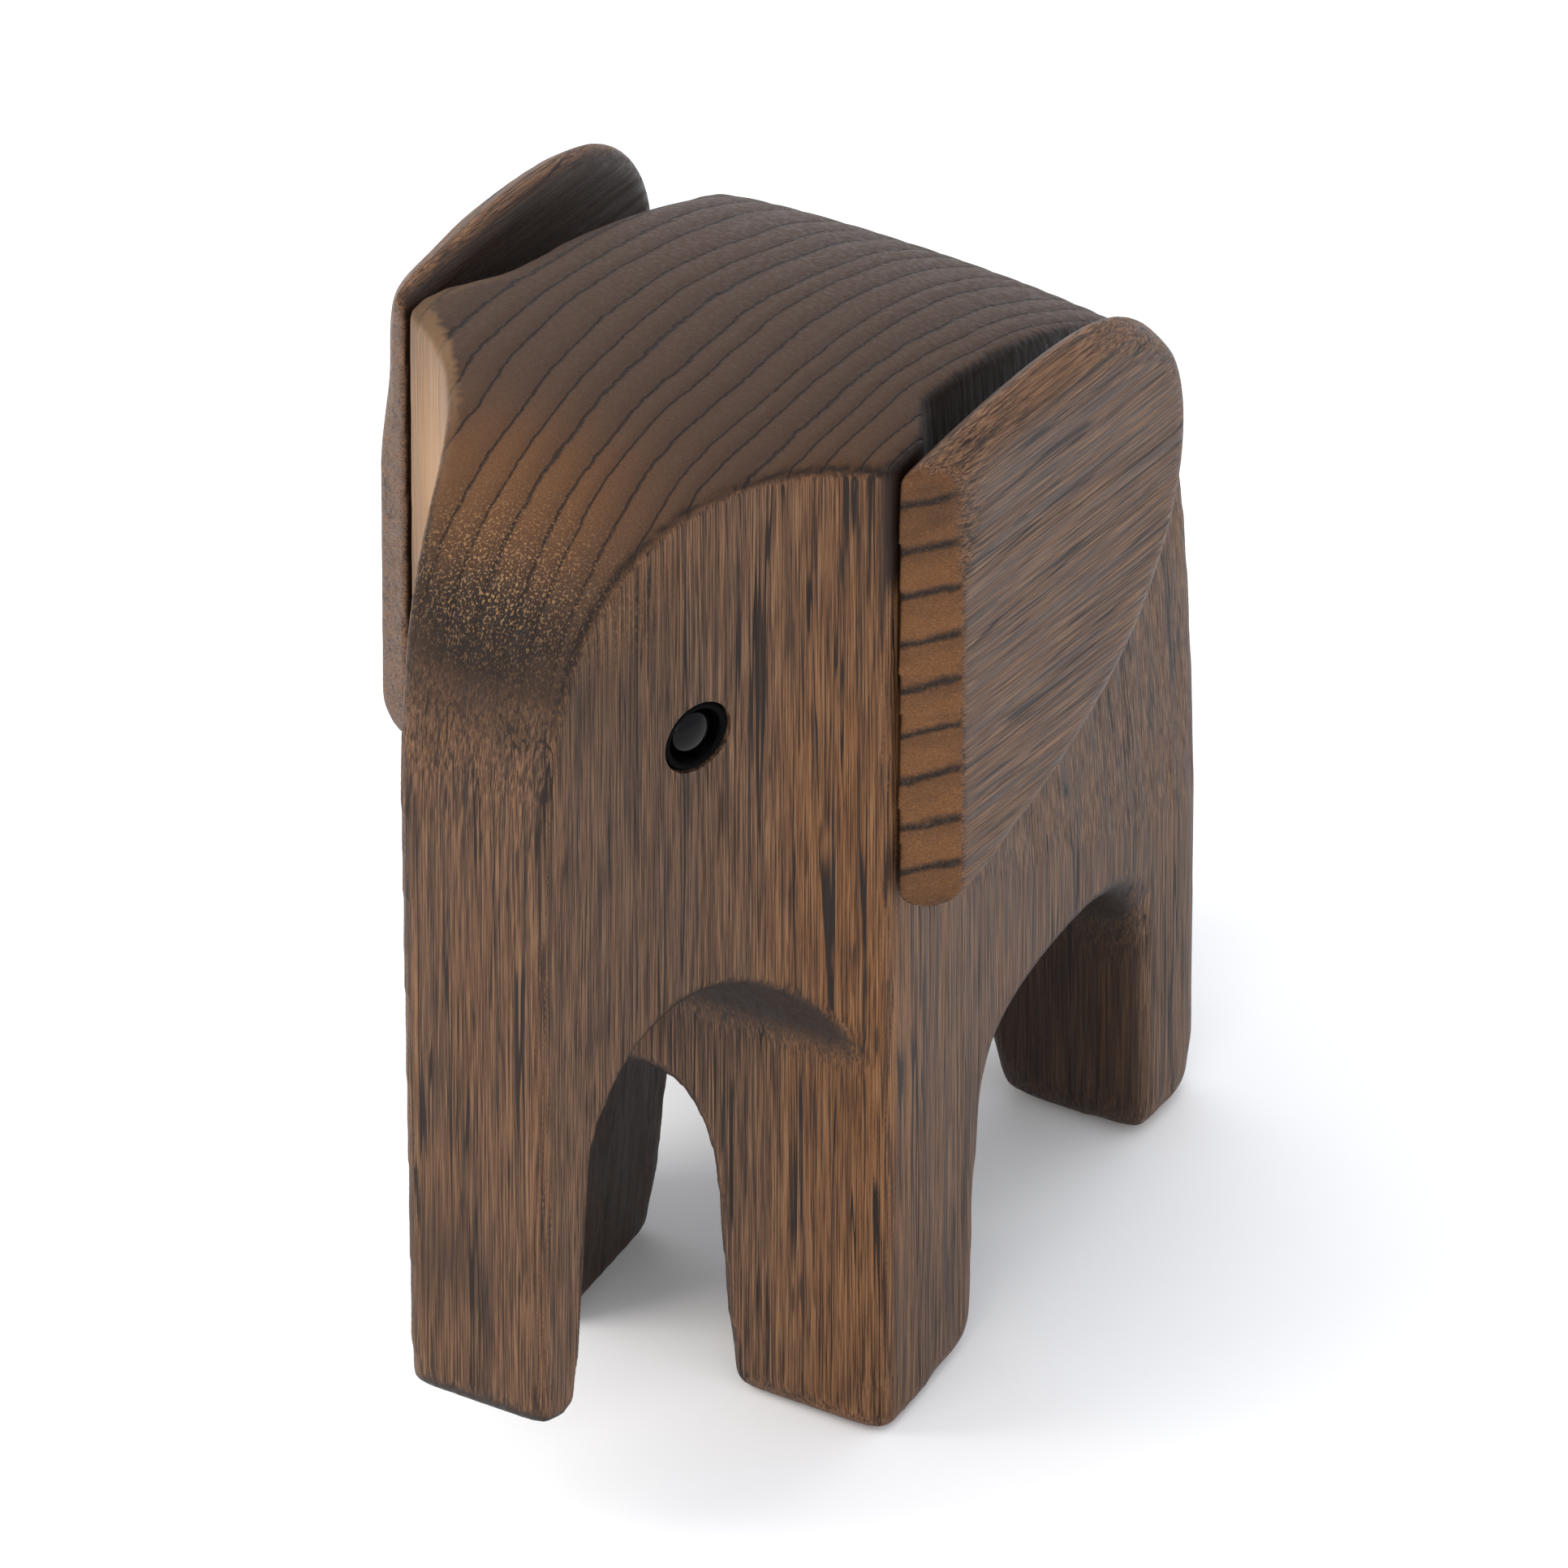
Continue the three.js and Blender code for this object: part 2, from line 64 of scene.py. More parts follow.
MM = 0.001
FRONT = CAD_BOX[0].y / MM  # the trunk's front, in millimetres
MERGE_DISTANCE = 1e-6  # metres
PLACE_DIGITS = 7  # decimals of a metre, to tell vertices apart
SHARP_ANGLE = math.radians(50)
NET_TURN = Euler((0.41, 0.67, 0.53)).to_matrix().to_4x4()  # sets the net askew
PULL = 0.5  # a vertex's move to its neighbours' middle, a round
NOISE_SHIFT = (1, -1, 2)  # the way a seed moves the noise
CUP_RECESS = 0.4  # millimetres from the cheek to the CAD cup's rim
ROUND_SEGMENTS = 72
QUARTER_TURN, HALF_TURN = 90, 180  # degrees
MIX_FACTOR, MIX_FIRST, MIX_SECOND, MIX_COLOUR = 0, 6, 7, 2  # the mix node's colour sockets
MIDDLE = 0.5  # a noise's middle value


class Side(Enum):
    """The elephant's own left is +X and its right is -X."""

    LEFT = 1
    RIGHT = -1


class Grain(Enum):
    """The way the wood's fibres run in a piece."""

    UPRIGHT = "upright"
    LENGTHWISE = "lengthwise"


def linear(red: int, green: int, blue: int) -> tuple[float, float, float, float]:
    """Turns a display colour of 0 to 255 into a linear colour.

    Args:
        red, green, blue: the display values.

    Returns:
        The linear colour with full alpha.
    """
    values = [c / 255 for c in (red, green, blue)]
    # Display colours: a straight line near black and a power above it.
    return (*[v / 12.92 if v <= 0.04045 else ((v + 0.055) / 1.055) ** 2.4 for v in values], 1.0)


def unit(value: np.ndarray) -> np.ndarray:
    """Keeps numbers within 0 and 1."""
    return np.clip(value, 0, 1)


def ease(value: np.ndarray, low: float, high: float) -> np.ndarray:
    """A smooth step from 0 at low to 1 at high.

    Args:
        value: the numbers to step.
        low, high: where the step starts and ends; low may be the larger.

    Returns:
        The stepped numbers.
    """
    t = unit((value - low) / (high - low))
    return t * t * (3 - 2 * t)


def wander(points: np.ndarray, pitch: float, seed: float) -> np.ndarray:
    """Smooth noise from about -1 to 1 at each point.

    Args:
        points: the points in millimetres.
        pitch: the size of the noise in millimetres.
        seed: an offset that picks another pattern.

    Returns:
        One number for each point.
    """
    shift = Vector(NOISE_SHIFT) * seed
    return np.array([noise.noise(Vector(p) / pitch + shift) for p in points])


class Measure(Enum):
    """What an edge is measured along: a place in millimetres, or the normal's lean, -1 to 1."""

    LEFT = "towards the elephant's left"
    ACROSS = "away from the middle plane"
    BACK = "back from the trunk's front"
    UP = "up from the floor"
    LEAN_LEFT = "the normal's lean to the left"
    LEAN_ASIDE = "the normal's lean to either side"
    LEAN_IN = "the normal's lean to the middle plane"
    LEAN_BACK = "the normal's lean to the back"
    LEAN_UP = "the normal's lean upwards"


@dataclass(frozen=True)
class Edge:
    """A zone's soft edge: none of the zone at low, all of it at high. Low may be the larger."""

    along: Measure
    low: float
    high: float


Zone = tuple[Edge, ...]


@dataclass(frozen=True)
class Skin:
    """A piece's vertices, as MeshTools.points gives them, and their normals."""

    points: np.ndarray
    normals: np.ndarray

    @staticmethod
    def of(piece: Piece) -> "Skin":
        """Reads a piece's skin."""
        return Skin(MeshTools.points(piece), MeshTools.normals(piece))

    def measure(self, along: Measure) -> np.ndarray:
        """One measure of every vertex."""
        x, y, z = self.points.T
        lean_x, lean_y, lean_z = self.normals.T
        return {
            Measure.LEFT: x,
            Measure.ACROSS: np.abs(x),
            Measure.BACK: y,
            Measure.UP: z,
            Measure.LEAN_LEFT: lean_x,
            Measure.LEAN_ASIDE: np.abs(lean_x),
            Measure.LEAN_IN: -np.sign(x) * lean_x,
            Measure.LEAN_BACK: lean_y,
            Measure.LEAN_UP: lean_z,
        }[along]

    def within(self, zone: Zone) -> np.ndarray:
        """How far each vertex is within a zone.

        Args:
            zone: the zone's edges.

        Returns:
            A number from 0 to 1 for each vertex.
        """
        share = np.ones(len(self.points))
        for edge in zone:
            share *= ease(self.measure(edge.along), edge.low, edge.high)
        return share


@dataclass(frozen=True)
class Ramp:
    """A smooth map in a material: low..high becomes start..end. Low may be the larger."""

    low: float
    high: float
    start: float = 0.0
    end: float = 1.0


@dataclass(frozen=True)
class Weave:
    """A noise along the fibres: patterns to the millimetre, and times as long as wide."""

    scale: float
    stretch: float
    detail: float
    roughness: float


class MeshTools:
    """Shared steps for turning a CAD node into a finished piece."""

    @staticmethod
    def copy_of(node: str, name: str) -> Piece:
        """Copies a CAD node's mesh into a new object, with its doubles merged.

        Args:
            node: the CAD node.
            name: the new object's name.

        Returns:
            The new object, linked to the scene.
        """
        work = bmesh.new()
        work.from_mesh(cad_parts[node].data)
        bmesh.ops.remove_doubles(work, verts=work.verts, dist=MERGE_DISTANCE)
        bmesh.ops.recalc_face_normals(work, faces=work.faces)
        return MeshTools.link(work, name)

    @staticmethod
    def link(work: bmesh.types.BMesh, name: str) -> Piece:
        """Writes a bmesh to a new linked object and frees it.

        Args:
            work: the mesh being built.
            name: the object's name.

        Returns:
            The new object.
        """
        mesh = bpy.data.meshes.new(name)
        work.to_mesh(mesh)
        work.free()
        made = bpy.data.objects.new(name, mesh)
        bpy.context.scene.collection.objects.link(made)
        return made

    @staticmethod
    def settle(piece: Piece) -> None:
        """Applies the object's modifiers to its mesh."""
        seen = piece.evaluated_get(bpy.context.evaluated_depsgraph_get())
        mesh = bpy.data.meshes.new_from_object(seen)
        piece.modifiers.clear()
        piece.data = mesh

    @staticmethod
    def remesh(piece: Piece, voxel: float) -> None:
        """Rebuilds the surface as an even net of quads that no edge of the piece runs along.

        Args:
            piece: the object.
            voxel: the net's pitch in millimetres.
        """
        piece.data.transform(NET_TURN)
        net = piece.modifiers.new("even_net", "REMESH")
        net.mode = "VOXEL"
        net.voxel_size = voxel * MM
        net.use_smooth_shade = True
        MeshTools.settle(piece)
        piece.data.transform(NET_TURN.inverted())

    @staticmethod
    def points(piece: Piece) -> np.ndarray:
        """The piece's vertices in millimetres, with Y measured back from the trunk's front."""
        co = np.empty(len(piece.data.vertices) * 3, np.float32)
        piece.data.vertices.foreach_get("co", co)
        return co.reshape(-1, 3).astype(float) / MM - np.array([0, FRONT, 0])

    @staticmethod
    def place(piece: Piece, points: np.ndarray) -> None:
        """Moves the piece's vertices to points, given as points() gives them."""
        co = (points + np.array([0, FRONT, 0])) * MM
        piece.data.vertices.foreach_set("co", co.astype(np.float32).ravel())
        piece.data.update()

    @staticmethod
    def normals(piece: Piece) -> np.ndarray:
        """The piece's vertex normals."""
        found = np.empty(len(piece.data.vertices) * 3, np.float32)
        piece.data.vertex_normals.foreach_get("vector", found)
        return found.reshape(-1, 3).astype(float)

    @staticmethod
    def sand(piece: Piece, radius: np.ndarray, voxel: float) -> None:
        """Rounds the edges as sanding does, by moving each vertex towards its neighbours.

        Args:
            piece: the object, with an even net.
            radius: the rounding wanted at each vertex, in millimetres.
            voxel: the net's pitch in millimetres.
        """
        edges = np.empty(len(piece.data.edges) * 2, np.int32)
        piece.data.edges.foreach_get("vertices", edges)
        a, b = edges.reshape(-1, 2).T
        points = MeshTools.points(piece)
        count = len(points)
        near = np.bincount(edges, minlength=count)[:, None]
        rounds = (radius / voxel) ** 2
        for step in range(int(rounds.max()) + 1):
            pull = PULL * unit(rounds - step)[:, None]
            sums = [
                np.bincount(a, column[b], count) + np.bincount(b, column[a], count)
                for column in points.T
            ]
            points += pull * (np.stack(sums, axis=1) / near - points)
        MeshTools.place(piece, points)

    @staticmethod
    def shape(piece: Piece, radii: Callable, least: float, voxel: float) -> None:
        """Rounds every edge on a fine net, then the softer ones on the final net.

        Args:
            piece: the object.
            radii: gives the rounding wanted at each vertex of a skin, in millimetres.
            least: the smallest rounding.
            voxel: the final net's pitch in millimetres.
        """
        MeshTools.remesh(piece, voxel / 2)
        MeshTools.sand(piece, np.minimum(radii(Skin.of(piece)), least), voxel / 2)
        MeshTools.remesh(piece, voxel)
        wanted = radii(Skin.of(piece))
        MeshTools.sand(piece, np.sqrt(np.maximum(wanted**2 - least**2, voxel**2)), voxel)

    @staticmethod
    def thin(piece: Piece, share: float) -> None:
        """Merges the net's vertices where it is flattest, down to a share of its faces."""
        fewer = piece.modifiers.new("thin", "DECIMATE")
        fewer.ratio = share
        MeshTools.settle(piece)

    @staticmethod
    def note(piece: Piece, name: str, values: np.ndarray) -> None:
        """Stores one number for each vertex.

        Args:
            piece: the object.
            name: the attribute's name.
            values: the numbers.
        """
        layer = piece.data.attributes.new(name, "FLOAT", "POINT")
        layer.data.foreach_set("value", values.astype(np.float32))

    @staticmethod
    def smooth(piece: Piece) -> None:
        """Shades the piece smooth but for its sharp edges."""
        piece.data.shade_smooth()
        piece.data.set_sharp_from_angle(angle=SHARP_ANGLE)

    @staticmethod
    def finish(piece: Piece, node: str, slot: str, look: bpy.types.Material) -> None:
        """Gives the piece its material and its place in the frame.

        Args:
            piece: the object.
            node: the CAD node that it stands for.
            slot: the record's material slot; not used.
            look: the material.
        """
        piece.data.materials.clear()
        piece.data.materials.append(look)
        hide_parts(node)
        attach(piece, "root")
        LOG.info("%s: %d faces", piece.name, len(piece.data.polygons))


class NodeGraph:
    """Adds nodes to one material and links them."""

    def __init__(self, name: str) -> None:
        """Starts an empty node material.

        Args:
            name: the material's name.
        """
        self.material = bpy.data.materials.new(name)
        self.material.use_nodes = True
        self.tree = self.material.node_tree
        self.tree.nodes.clear()

    def feed(self, socket: Socket, value: object) -> None:
        """Links value to the socket if it is a socket, or else sets it there."""
        if isinstance(value, Socket):
            self.tree.links.new(value, socket)
        else:
            socket.default_value = value

    def add(self, kind: str, inputs: dict | None = None, **settings: object) -> bpy.types.Node:
        """Adds a node.

        Args:
            kind: the node's type name.
            inputs: what to feed to its sockets, by name or number.
            settings: its other properties.

        Returns:
            The node.
        """
        node = self.tree.nodes.new(kind)
        for name, value in settings.items():
            setattr(node, name, value)
        for key, value in (inputs or {}).items():
            self.feed(node.inputs[key], value)
        return node

    def math(self, operation: str, first: object, second: object = 0.0) -> Socket:
        """One sum of two values."""
        return self.add("ShaderNodeMath", {0: first, 1: second}, operation=operation).outputs[0]

    def ramp(self, value: object, ramp: Ramp) -> Socket:
        """Maps a value by a ramp.

        Args:
            value: the socket to map.
            ramp: the map.

        Returns:
            The mapped socket.
        """
        fed = {"Value": value, "From Min": ramp.low, "From Max": ramp.high}
        fed |= {"To Min": ramp.start, "To Max": ramp.end}
        return self.add("ShaderNodeMapRange", fed, interpolation_type="SMOOTHSTEP").outputs[0]

    def blend(self, factor: object, first: object, second: object) -> Socket:
        """Mixes two colours.

        Args:
            factor: the second colour's share.
            first, second: the colours.

        Returns:
            The mixed colour's socket.
        """
        fed = {MIX_FACTOR: factor, MIX_FIRST: first, MIX_SECOND: second}
        return self.add("ShaderNodeMix", fed, data_type="RGBA").outputs[MIX_COLOUR]

    def noise(self, vector: object, scale: float, detail: float, roughness: float) -> Socket:
        """Fractal noise at a vector.

        Args:
            vector: where it is read.
            scale: how fine it is.
            detail, roughness: how much finer noise is added.

        Returns:
            The noise's socket, about 0 to 1.
        """
        fed = {"Vector": vector, "Scale": scale, "Detail": detail, "Roughness": roughness}
        return self.add("ShaderNodeTexNoise", fed).outputs["Fac"]

    def layer(self, name: str) -> Socket:
        """The value that the mesh stores under name."""
        return self.add("ShaderNodeAttribute", attribute_name=name).outputs["Fac"]

    def output(self, shader: bpy.types.Node) -> bpy.types.Material:
        """Ends the graph in the shader and returns the material."""
        self.add("ShaderNodeOutputMaterial", {"Surface": shader.outputs[0]})
        return self.material


@dataclass(frozen=True)
class OakFinish:
    """Smoked oak with a satin oil finish. Lengths are in millimetres and the tilt in degrees."""

    name: str
    grain: Grain
    cool: tuple = linear(84, 63, 50)
    warm: tuple = linear(108, 69, 36)
    dark: tuple = linear(29, 17, 10)
    pale: tuple = linear(158, 122, 88)
    straw: tuple = linear(214, 166, 112)
    tilt: float = 11.0
    tone: Ramp = Ramp(0.0, 1.0)
    streak: Weave = Weave(0.32, 12.0, 2, 0.5)
    streak_sway: float = 0.34
    hair: Weave = Weave(1 / 0.13, 75.0, 3, 0.68)
    hair_pale: Ramp = Ramp(0.52, 0.62, 0.0, 0.36)
    hair_pale_by_side: Ramp = Ramp(0.0, 1.0, 0.3, 1.0)
    hair_dark: Ramp = Ramp(0.51, 0.38, 0.0, 0.86)
    hair_dark_by_side: Ramp = Ramp(0.0, 1.0, 0.35, 1.0)
    hair_relief: float = 0.6
    fibre: Weave = Weave(1 / 0.55, 60.0, 4, 0.68)
    fibre_pale: Ramp = Ramp(0.54, 0.74, 0.0, 0.24)
    fibre_dark: Ramp = Ramp(0.49, 0.35, 0.0, 0.58)
    pore_pitch: float = 0.7
    pore_stretch: float = 13.0
    pore_mark: Ramp = Ramp(0.24, 0.10)
    pore_cloud: Weave = Weave(0.22, 4.0, 2, 0.5)
    pore_patch: Ramp = Ramp(0.42, 0.62)
    pore_by_side: Ramp = Ramp(0.0, 1.0, 0.15, 1.0)
    pore_share: float = 0.75
    pore_relief: float = 0.6
    sheet: Weave = Weave(0.75, 60.0, 2, 0.55)
    thread_mark: Ramp = Ramp(0.026, 0.010)
    thread_cloud: Weave = Weave(0.35, 6.0, 2, 0.5)
    thread_patch: Ramp = Ramp(0.42, 0.56)
    line_width: float = 0.10
    line_core: float = 0.01
    line_start: float = 0.7
    line_end: float = 0.995
    line_band: Ramp = Ramp(0.40, 0.98, 0.0, 0.30)
    line_cloud: Weave = Weave(0.7, 3.0, 3, 0.6)
    line_shake: float = 0.22
    fleck_cloud: Weave = Weave(5.2, 2.4, 3, 0.7)
    fleck_mark: Ramp = Ramp(0.53, 0.64, 0.0, 0.62)
    relief: float = 0.16
    relief_strength: float = 0.7
    gloss: Ramp = Ramp(0.3, 0.7, 0.38, 0.62)
    end_gloss: float = 0.08
    shine: float = 0.2

    def along(self, graph: NodeGraph, stretch: float) -> Socket:
        """Coordinates in millimetres, squeezed along the fibres.

        Args:
            graph: the graph to add to.
            stretch: how many times longer than wide the pattern becomes.

        Returns:
            The coordinates' socket.
        """
        place = graph.add("ShaderNodeTexCoord").outputs["Object"]
        if self.grain is Grain.LENGTHWISE:
            turn = (math.radians(self.tilt), 0, 0)
            place = graph.add("ShaderNodeMapping", {"Vector": place, "Rotation": turn}).outputs[0]
            scale = (1 / MM, 1 / (MM * stretch), 1 / MM)
        else:
            scale = (1 / MM, 1 / MM, 1 / (MM * stretch))
        return graph.add("ShaderNodeMapping", {"Vector": place, "Scale": scale}).outputs[0]

    def woven(self, graph: NodeGraph, weave: Weave) -> Socket:
        """A weave's noise, about 0 to 1."""
        place = self.along(graph, weave.stretch)
        return graph.noise(place, weave.scale, weave.detail, weave.roughness)

    def material(self) -> bpy.types.Material:
        """Makes the finish's material."""
        graph = NodeGraph(self.name)
        end = graph.layer("end_grain")
        side = graph.math("SUBTRACT", 1.0, end)
        hair, fibre = self.woven(graph, self.hair), self.woven(graph, self.fibre)
        pore = graph.math("MULTIPLY", self.pores(graph), graph.ramp(side, self.pore_by_side))
        line = self.lines(graph)
        colour = self.fibres(graph, self.ground(graph, side), side, hair, fibre)
        rough = graph.math("MULTIPLY", end, self.end_gloss)
        fed = {
            "Base Color": self.marks(graph, colour, pore, line),
            "Roughness": graph.math("ADD", graph.ramp(fibre, self.gloss), rough),
            "Normal": self.bump(graph, hair, pore, line),
            "Specular IOR Level": self.shine,
        }
        return graph.output(graph.add("ShaderNodeBsdfPrincipled", fed))

    def ground(self, graph: NodeGraph, side: Socket) -> Socket:
        """The wood's cool or warm tone under its fibres.

        Args:
            graph: the graph to add to.
            side: 1 on side grain and 0 on end grain.

        Returns:
            The colour's socket.
        """
        streak = graph.math("SUBTRACT", self.woven(graph, self.streak), MIDDLE)
        sway = graph.math("MULTIPLY", graph.math("MULTIPLY", streak, self.streak_sway), side)
        tone = graph.math("ADD", graph.layer("warmth"), sway)
        return graph.blend(graph.ramp(tone, self.tone), self.cool, self.warm)

    def fibres(
        self, graph: NodeGraph, colour: Socket, side: Socket, hair: Socket, fibre: Socket
    ) -> Socket:
        """Lays pale and dark fibres over a colour.

        Args:
            graph: the graph to add to.
            colour: the colour under them.
            side: 1 on side grain and 0 on end grain.
            hair, fibre: the fine and the coarse weave.

        Returns:
            The colour's socket.
        """
        light = graph.math(
            "MULTIPLY", graph.ramp(hair, self.hair_pale), graph.ramp(side, self.hair_pale_by_side)
        )
        colour = graph.blend(light, colour, self.pale)
        soft = graph.math(
            "MULTIPLY", graph.ramp(hair, self.hair_dark), graph.ramp(side, self.hair_dark_by_side)
        )
        colour = graph.blend(soft, colour, self.dark)
        colour = graph.blend(graph.ramp(fibre, self.fibre_pale), colour, self.pale)
        deep = graph.math("MULTIPLY", graph.ramp(fibre, self.fibre_dark), side)
        colour = graph.blend(deep, colour, self.dark)
        return graph.blend(graph.math("MULTIPLY", self.threads(graph), side), colour, self.dark)

    def marks(self, graph: NodeGraph, colour: Socket, pore: Socket, line: Socket) -> Socket:
        """Lays the pores, ring lines, stain with painted shade, flecks and painted light over a
        colour.

        Args:
            graph: the graph to add to.
            colour: the colour under them.
            pore, line: where the pores and ring lines are, 0 to 1.

        Returns:
            The colour's socket.
        """
        colour = graph.blend(graph.math("MULTIPLY", pore, self.pore_share), colour, self.dark)
        colour = graph.blend(line, colour, self.dark)
        # The stored layer is darker stain together with painted shade, both laid as the dark
        # colour.
        colour = graph.blend(graph.layer("stain_and_painted_shade"), colour, self.dark)
        colour = graph.blend(self.speckle(graph), colour, self.straw)
        # Painted light: the pale straw colour laid on the far cheek where the key lamp falls.
        return graph.blend(graph.layer("painted_light"), colour, self.straw)

    def bump(self, graph: NodeGraph, hair: Socket, pore: Socket, line: Socket) -> Socket:
        """The fibres', pores' and ring lines' fine relief.

        Args:
            graph: the graph to add to.
            hair, pore, line: their shares, 0 to 1.

        Returns:
            The normal's socket.
        """
        raised = graph.math("MULTIPLY", hair, self.hair_relief)
        height = graph.math("SUBTRACT", raised, graph.math("MULTIPLY", pore, self.pore_relief))
        height = graph.math("SUBTRACT", height, line)
        fed = {"Height": height, "Distance": self.relief * MM, "Strength": self.relief_strength}
        return graph.add("ShaderNodeBump", fed).outputs[0]

    def pores(self, graph: NodeGraph) -> Socket:
        """Open pores: short dark dashes along the fibres and dots across them, 0 to 1."""
        place = self.along(graph, self.pore_stretch)
        cells = graph.add("ShaderNodeTexVoronoi", {"Vector": place, "Scale": 1 / self.pore_pitch})
        mark = graph.ramp(cells.outputs["Distance"], self.pore_mark)
        patch = graph.ramp(self.woven(graph, self.pore_cloud), self.pore_patch)
        return graph.math("MULTIPLY", mark, patch)

    def threads(self, graph: NodeGraph) -> Socket:
        """Long dark hairlines along the fibres, 0 to 1."""
        off = graph.math("ABSOLUTE", graph.math("SUBTRACT", self.woven(graph, self.sheet), MIDDLE))
        patch = graph.ramp(self.woven(graph, self.thread_cloud), self.thread_patch)
        return graph.math("MULTIPLY", graph.ramp(off, self.thread_mark), patch)

    def lines(self, graph: NodeGraph) -> Socket:
        """Growth-ring lines, 0 to 1: a dark core with a soft band before it."""
        shake = graph.math("SUBTRACT", self.woven(graph, self.line_cloud), MIDDLE)
        shake = graph.math("MULTIPLY", shake, self.line_shake)
        phase = graph.math("FRACT", graph.math("ADD", graph.layer("ring"), shake))
        before = graph.ramp(phase, Ramp(1 - self.line_width * self.line_start, self.line_end))
        after = graph.ramp(phase, Ramp(self.line_width, self.line_core))
        core = graph.math("MAXIMUM", after, before)
        both = graph.math("MAXIMUM", core, graph.ramp(phase, self.line_band))
        return graph.math("MULTIPLY", both, graph.layer("end_grain"))

    def speckle(self, graph: NodeGraph) -> Socket:
        """Pale flecks where the fibres were sanded across, 0 to 1."""
        flecks = graph.ramp(self.woven(graph, self.fleck_cloud), self.fleck_mark)
        return graph.math("MULTIPLY", flecks, graph.layer("fleck"))


@dataclass(frozen=True)
class GlossFinish:
    """Black plastic or glass: nearly black, with faint cloudiness in its colour and gloss."""

    name: str
    low: tuple = linear(1, 1, 2)
    high: tuple = linear(6, 6, 8)
    roughness: float = 0.16
    shine: float = 0.5
    cloud_scale: float = 900.0
    cloud_detail: float = 3.0
    cloud_roughness: float = 0.6
    cloud: tuple[float, float] = (0.3, 0.7)
    roughness_sway: float = 0.3

    def material(self) -> bpy.types.Material:
        """Makes the finish's material."""
        graph = NodeGraph(self.name)
        place = graph.add("ShaderNodeTexCoord").outputs["Object"]
        cloud = graph.noise(place, self.cloud_scale, self.cloud_detail, self.cloud_roughness)
        colour = graph.blend(graph.ramp(cloud, Ramp(*self.cloud)), self.low, self.high)
        sway = self.roughness * self.roughness_sway
        gloss = graph.ramp(cloud, Ramp(*self.cloud, self.roughness - sway, self.roughness + sway))
        fed = {"Base Color": colour, "Roughness": gloss, "Specular IOR Level": self.shine}
        return graph.output(graph.add("ShaderNodeBsdfPrincipled", fed))


@dataclass(frozen=True)
class Patch:
    """A soft spot on the wood, in millimetres, placed as MeshTools.points gives points."""

    centre: tuple[float, float, float]
    reach: tuple[float, float, float]
    amount: float

    def at(self, points: np.ndarray) -> np.ndarray:
        """How strong the patch is at each point."""
        away = (points - np.array(self.centre)) / np.array(self.reach)
        return self.amount * np.exp(-(away**2).sum(1))


@dataclass(frozen=True)
class Wave:
    """A smooth noise of a size and a pitch in millimetres; rise and depth scale its Z and Y."""

    size: float
    pitch: float
    seed: float
    rise: float
    depth: float = 1.0

    def at(self, points: np.ndarray) -> np.ndarray:
        """The noise at each point."""
        return self.size * wander(points * (1, self.depth, self.rise), self.pitch, self.seed)


@dataclass(frozen=True)
class Beat:
    """A regular change in the rings' spacing: its size in rings, its rate and its start."""

    size: float
    rate: float
    start: float


def patched(points: np.ndarray, patches: tuple[Patch, ...]) -> np.ndarray:
    """The sum of the patches at each point."""
    return sum((patch.at(points) for patch in patches), np.zeros(len(points)))


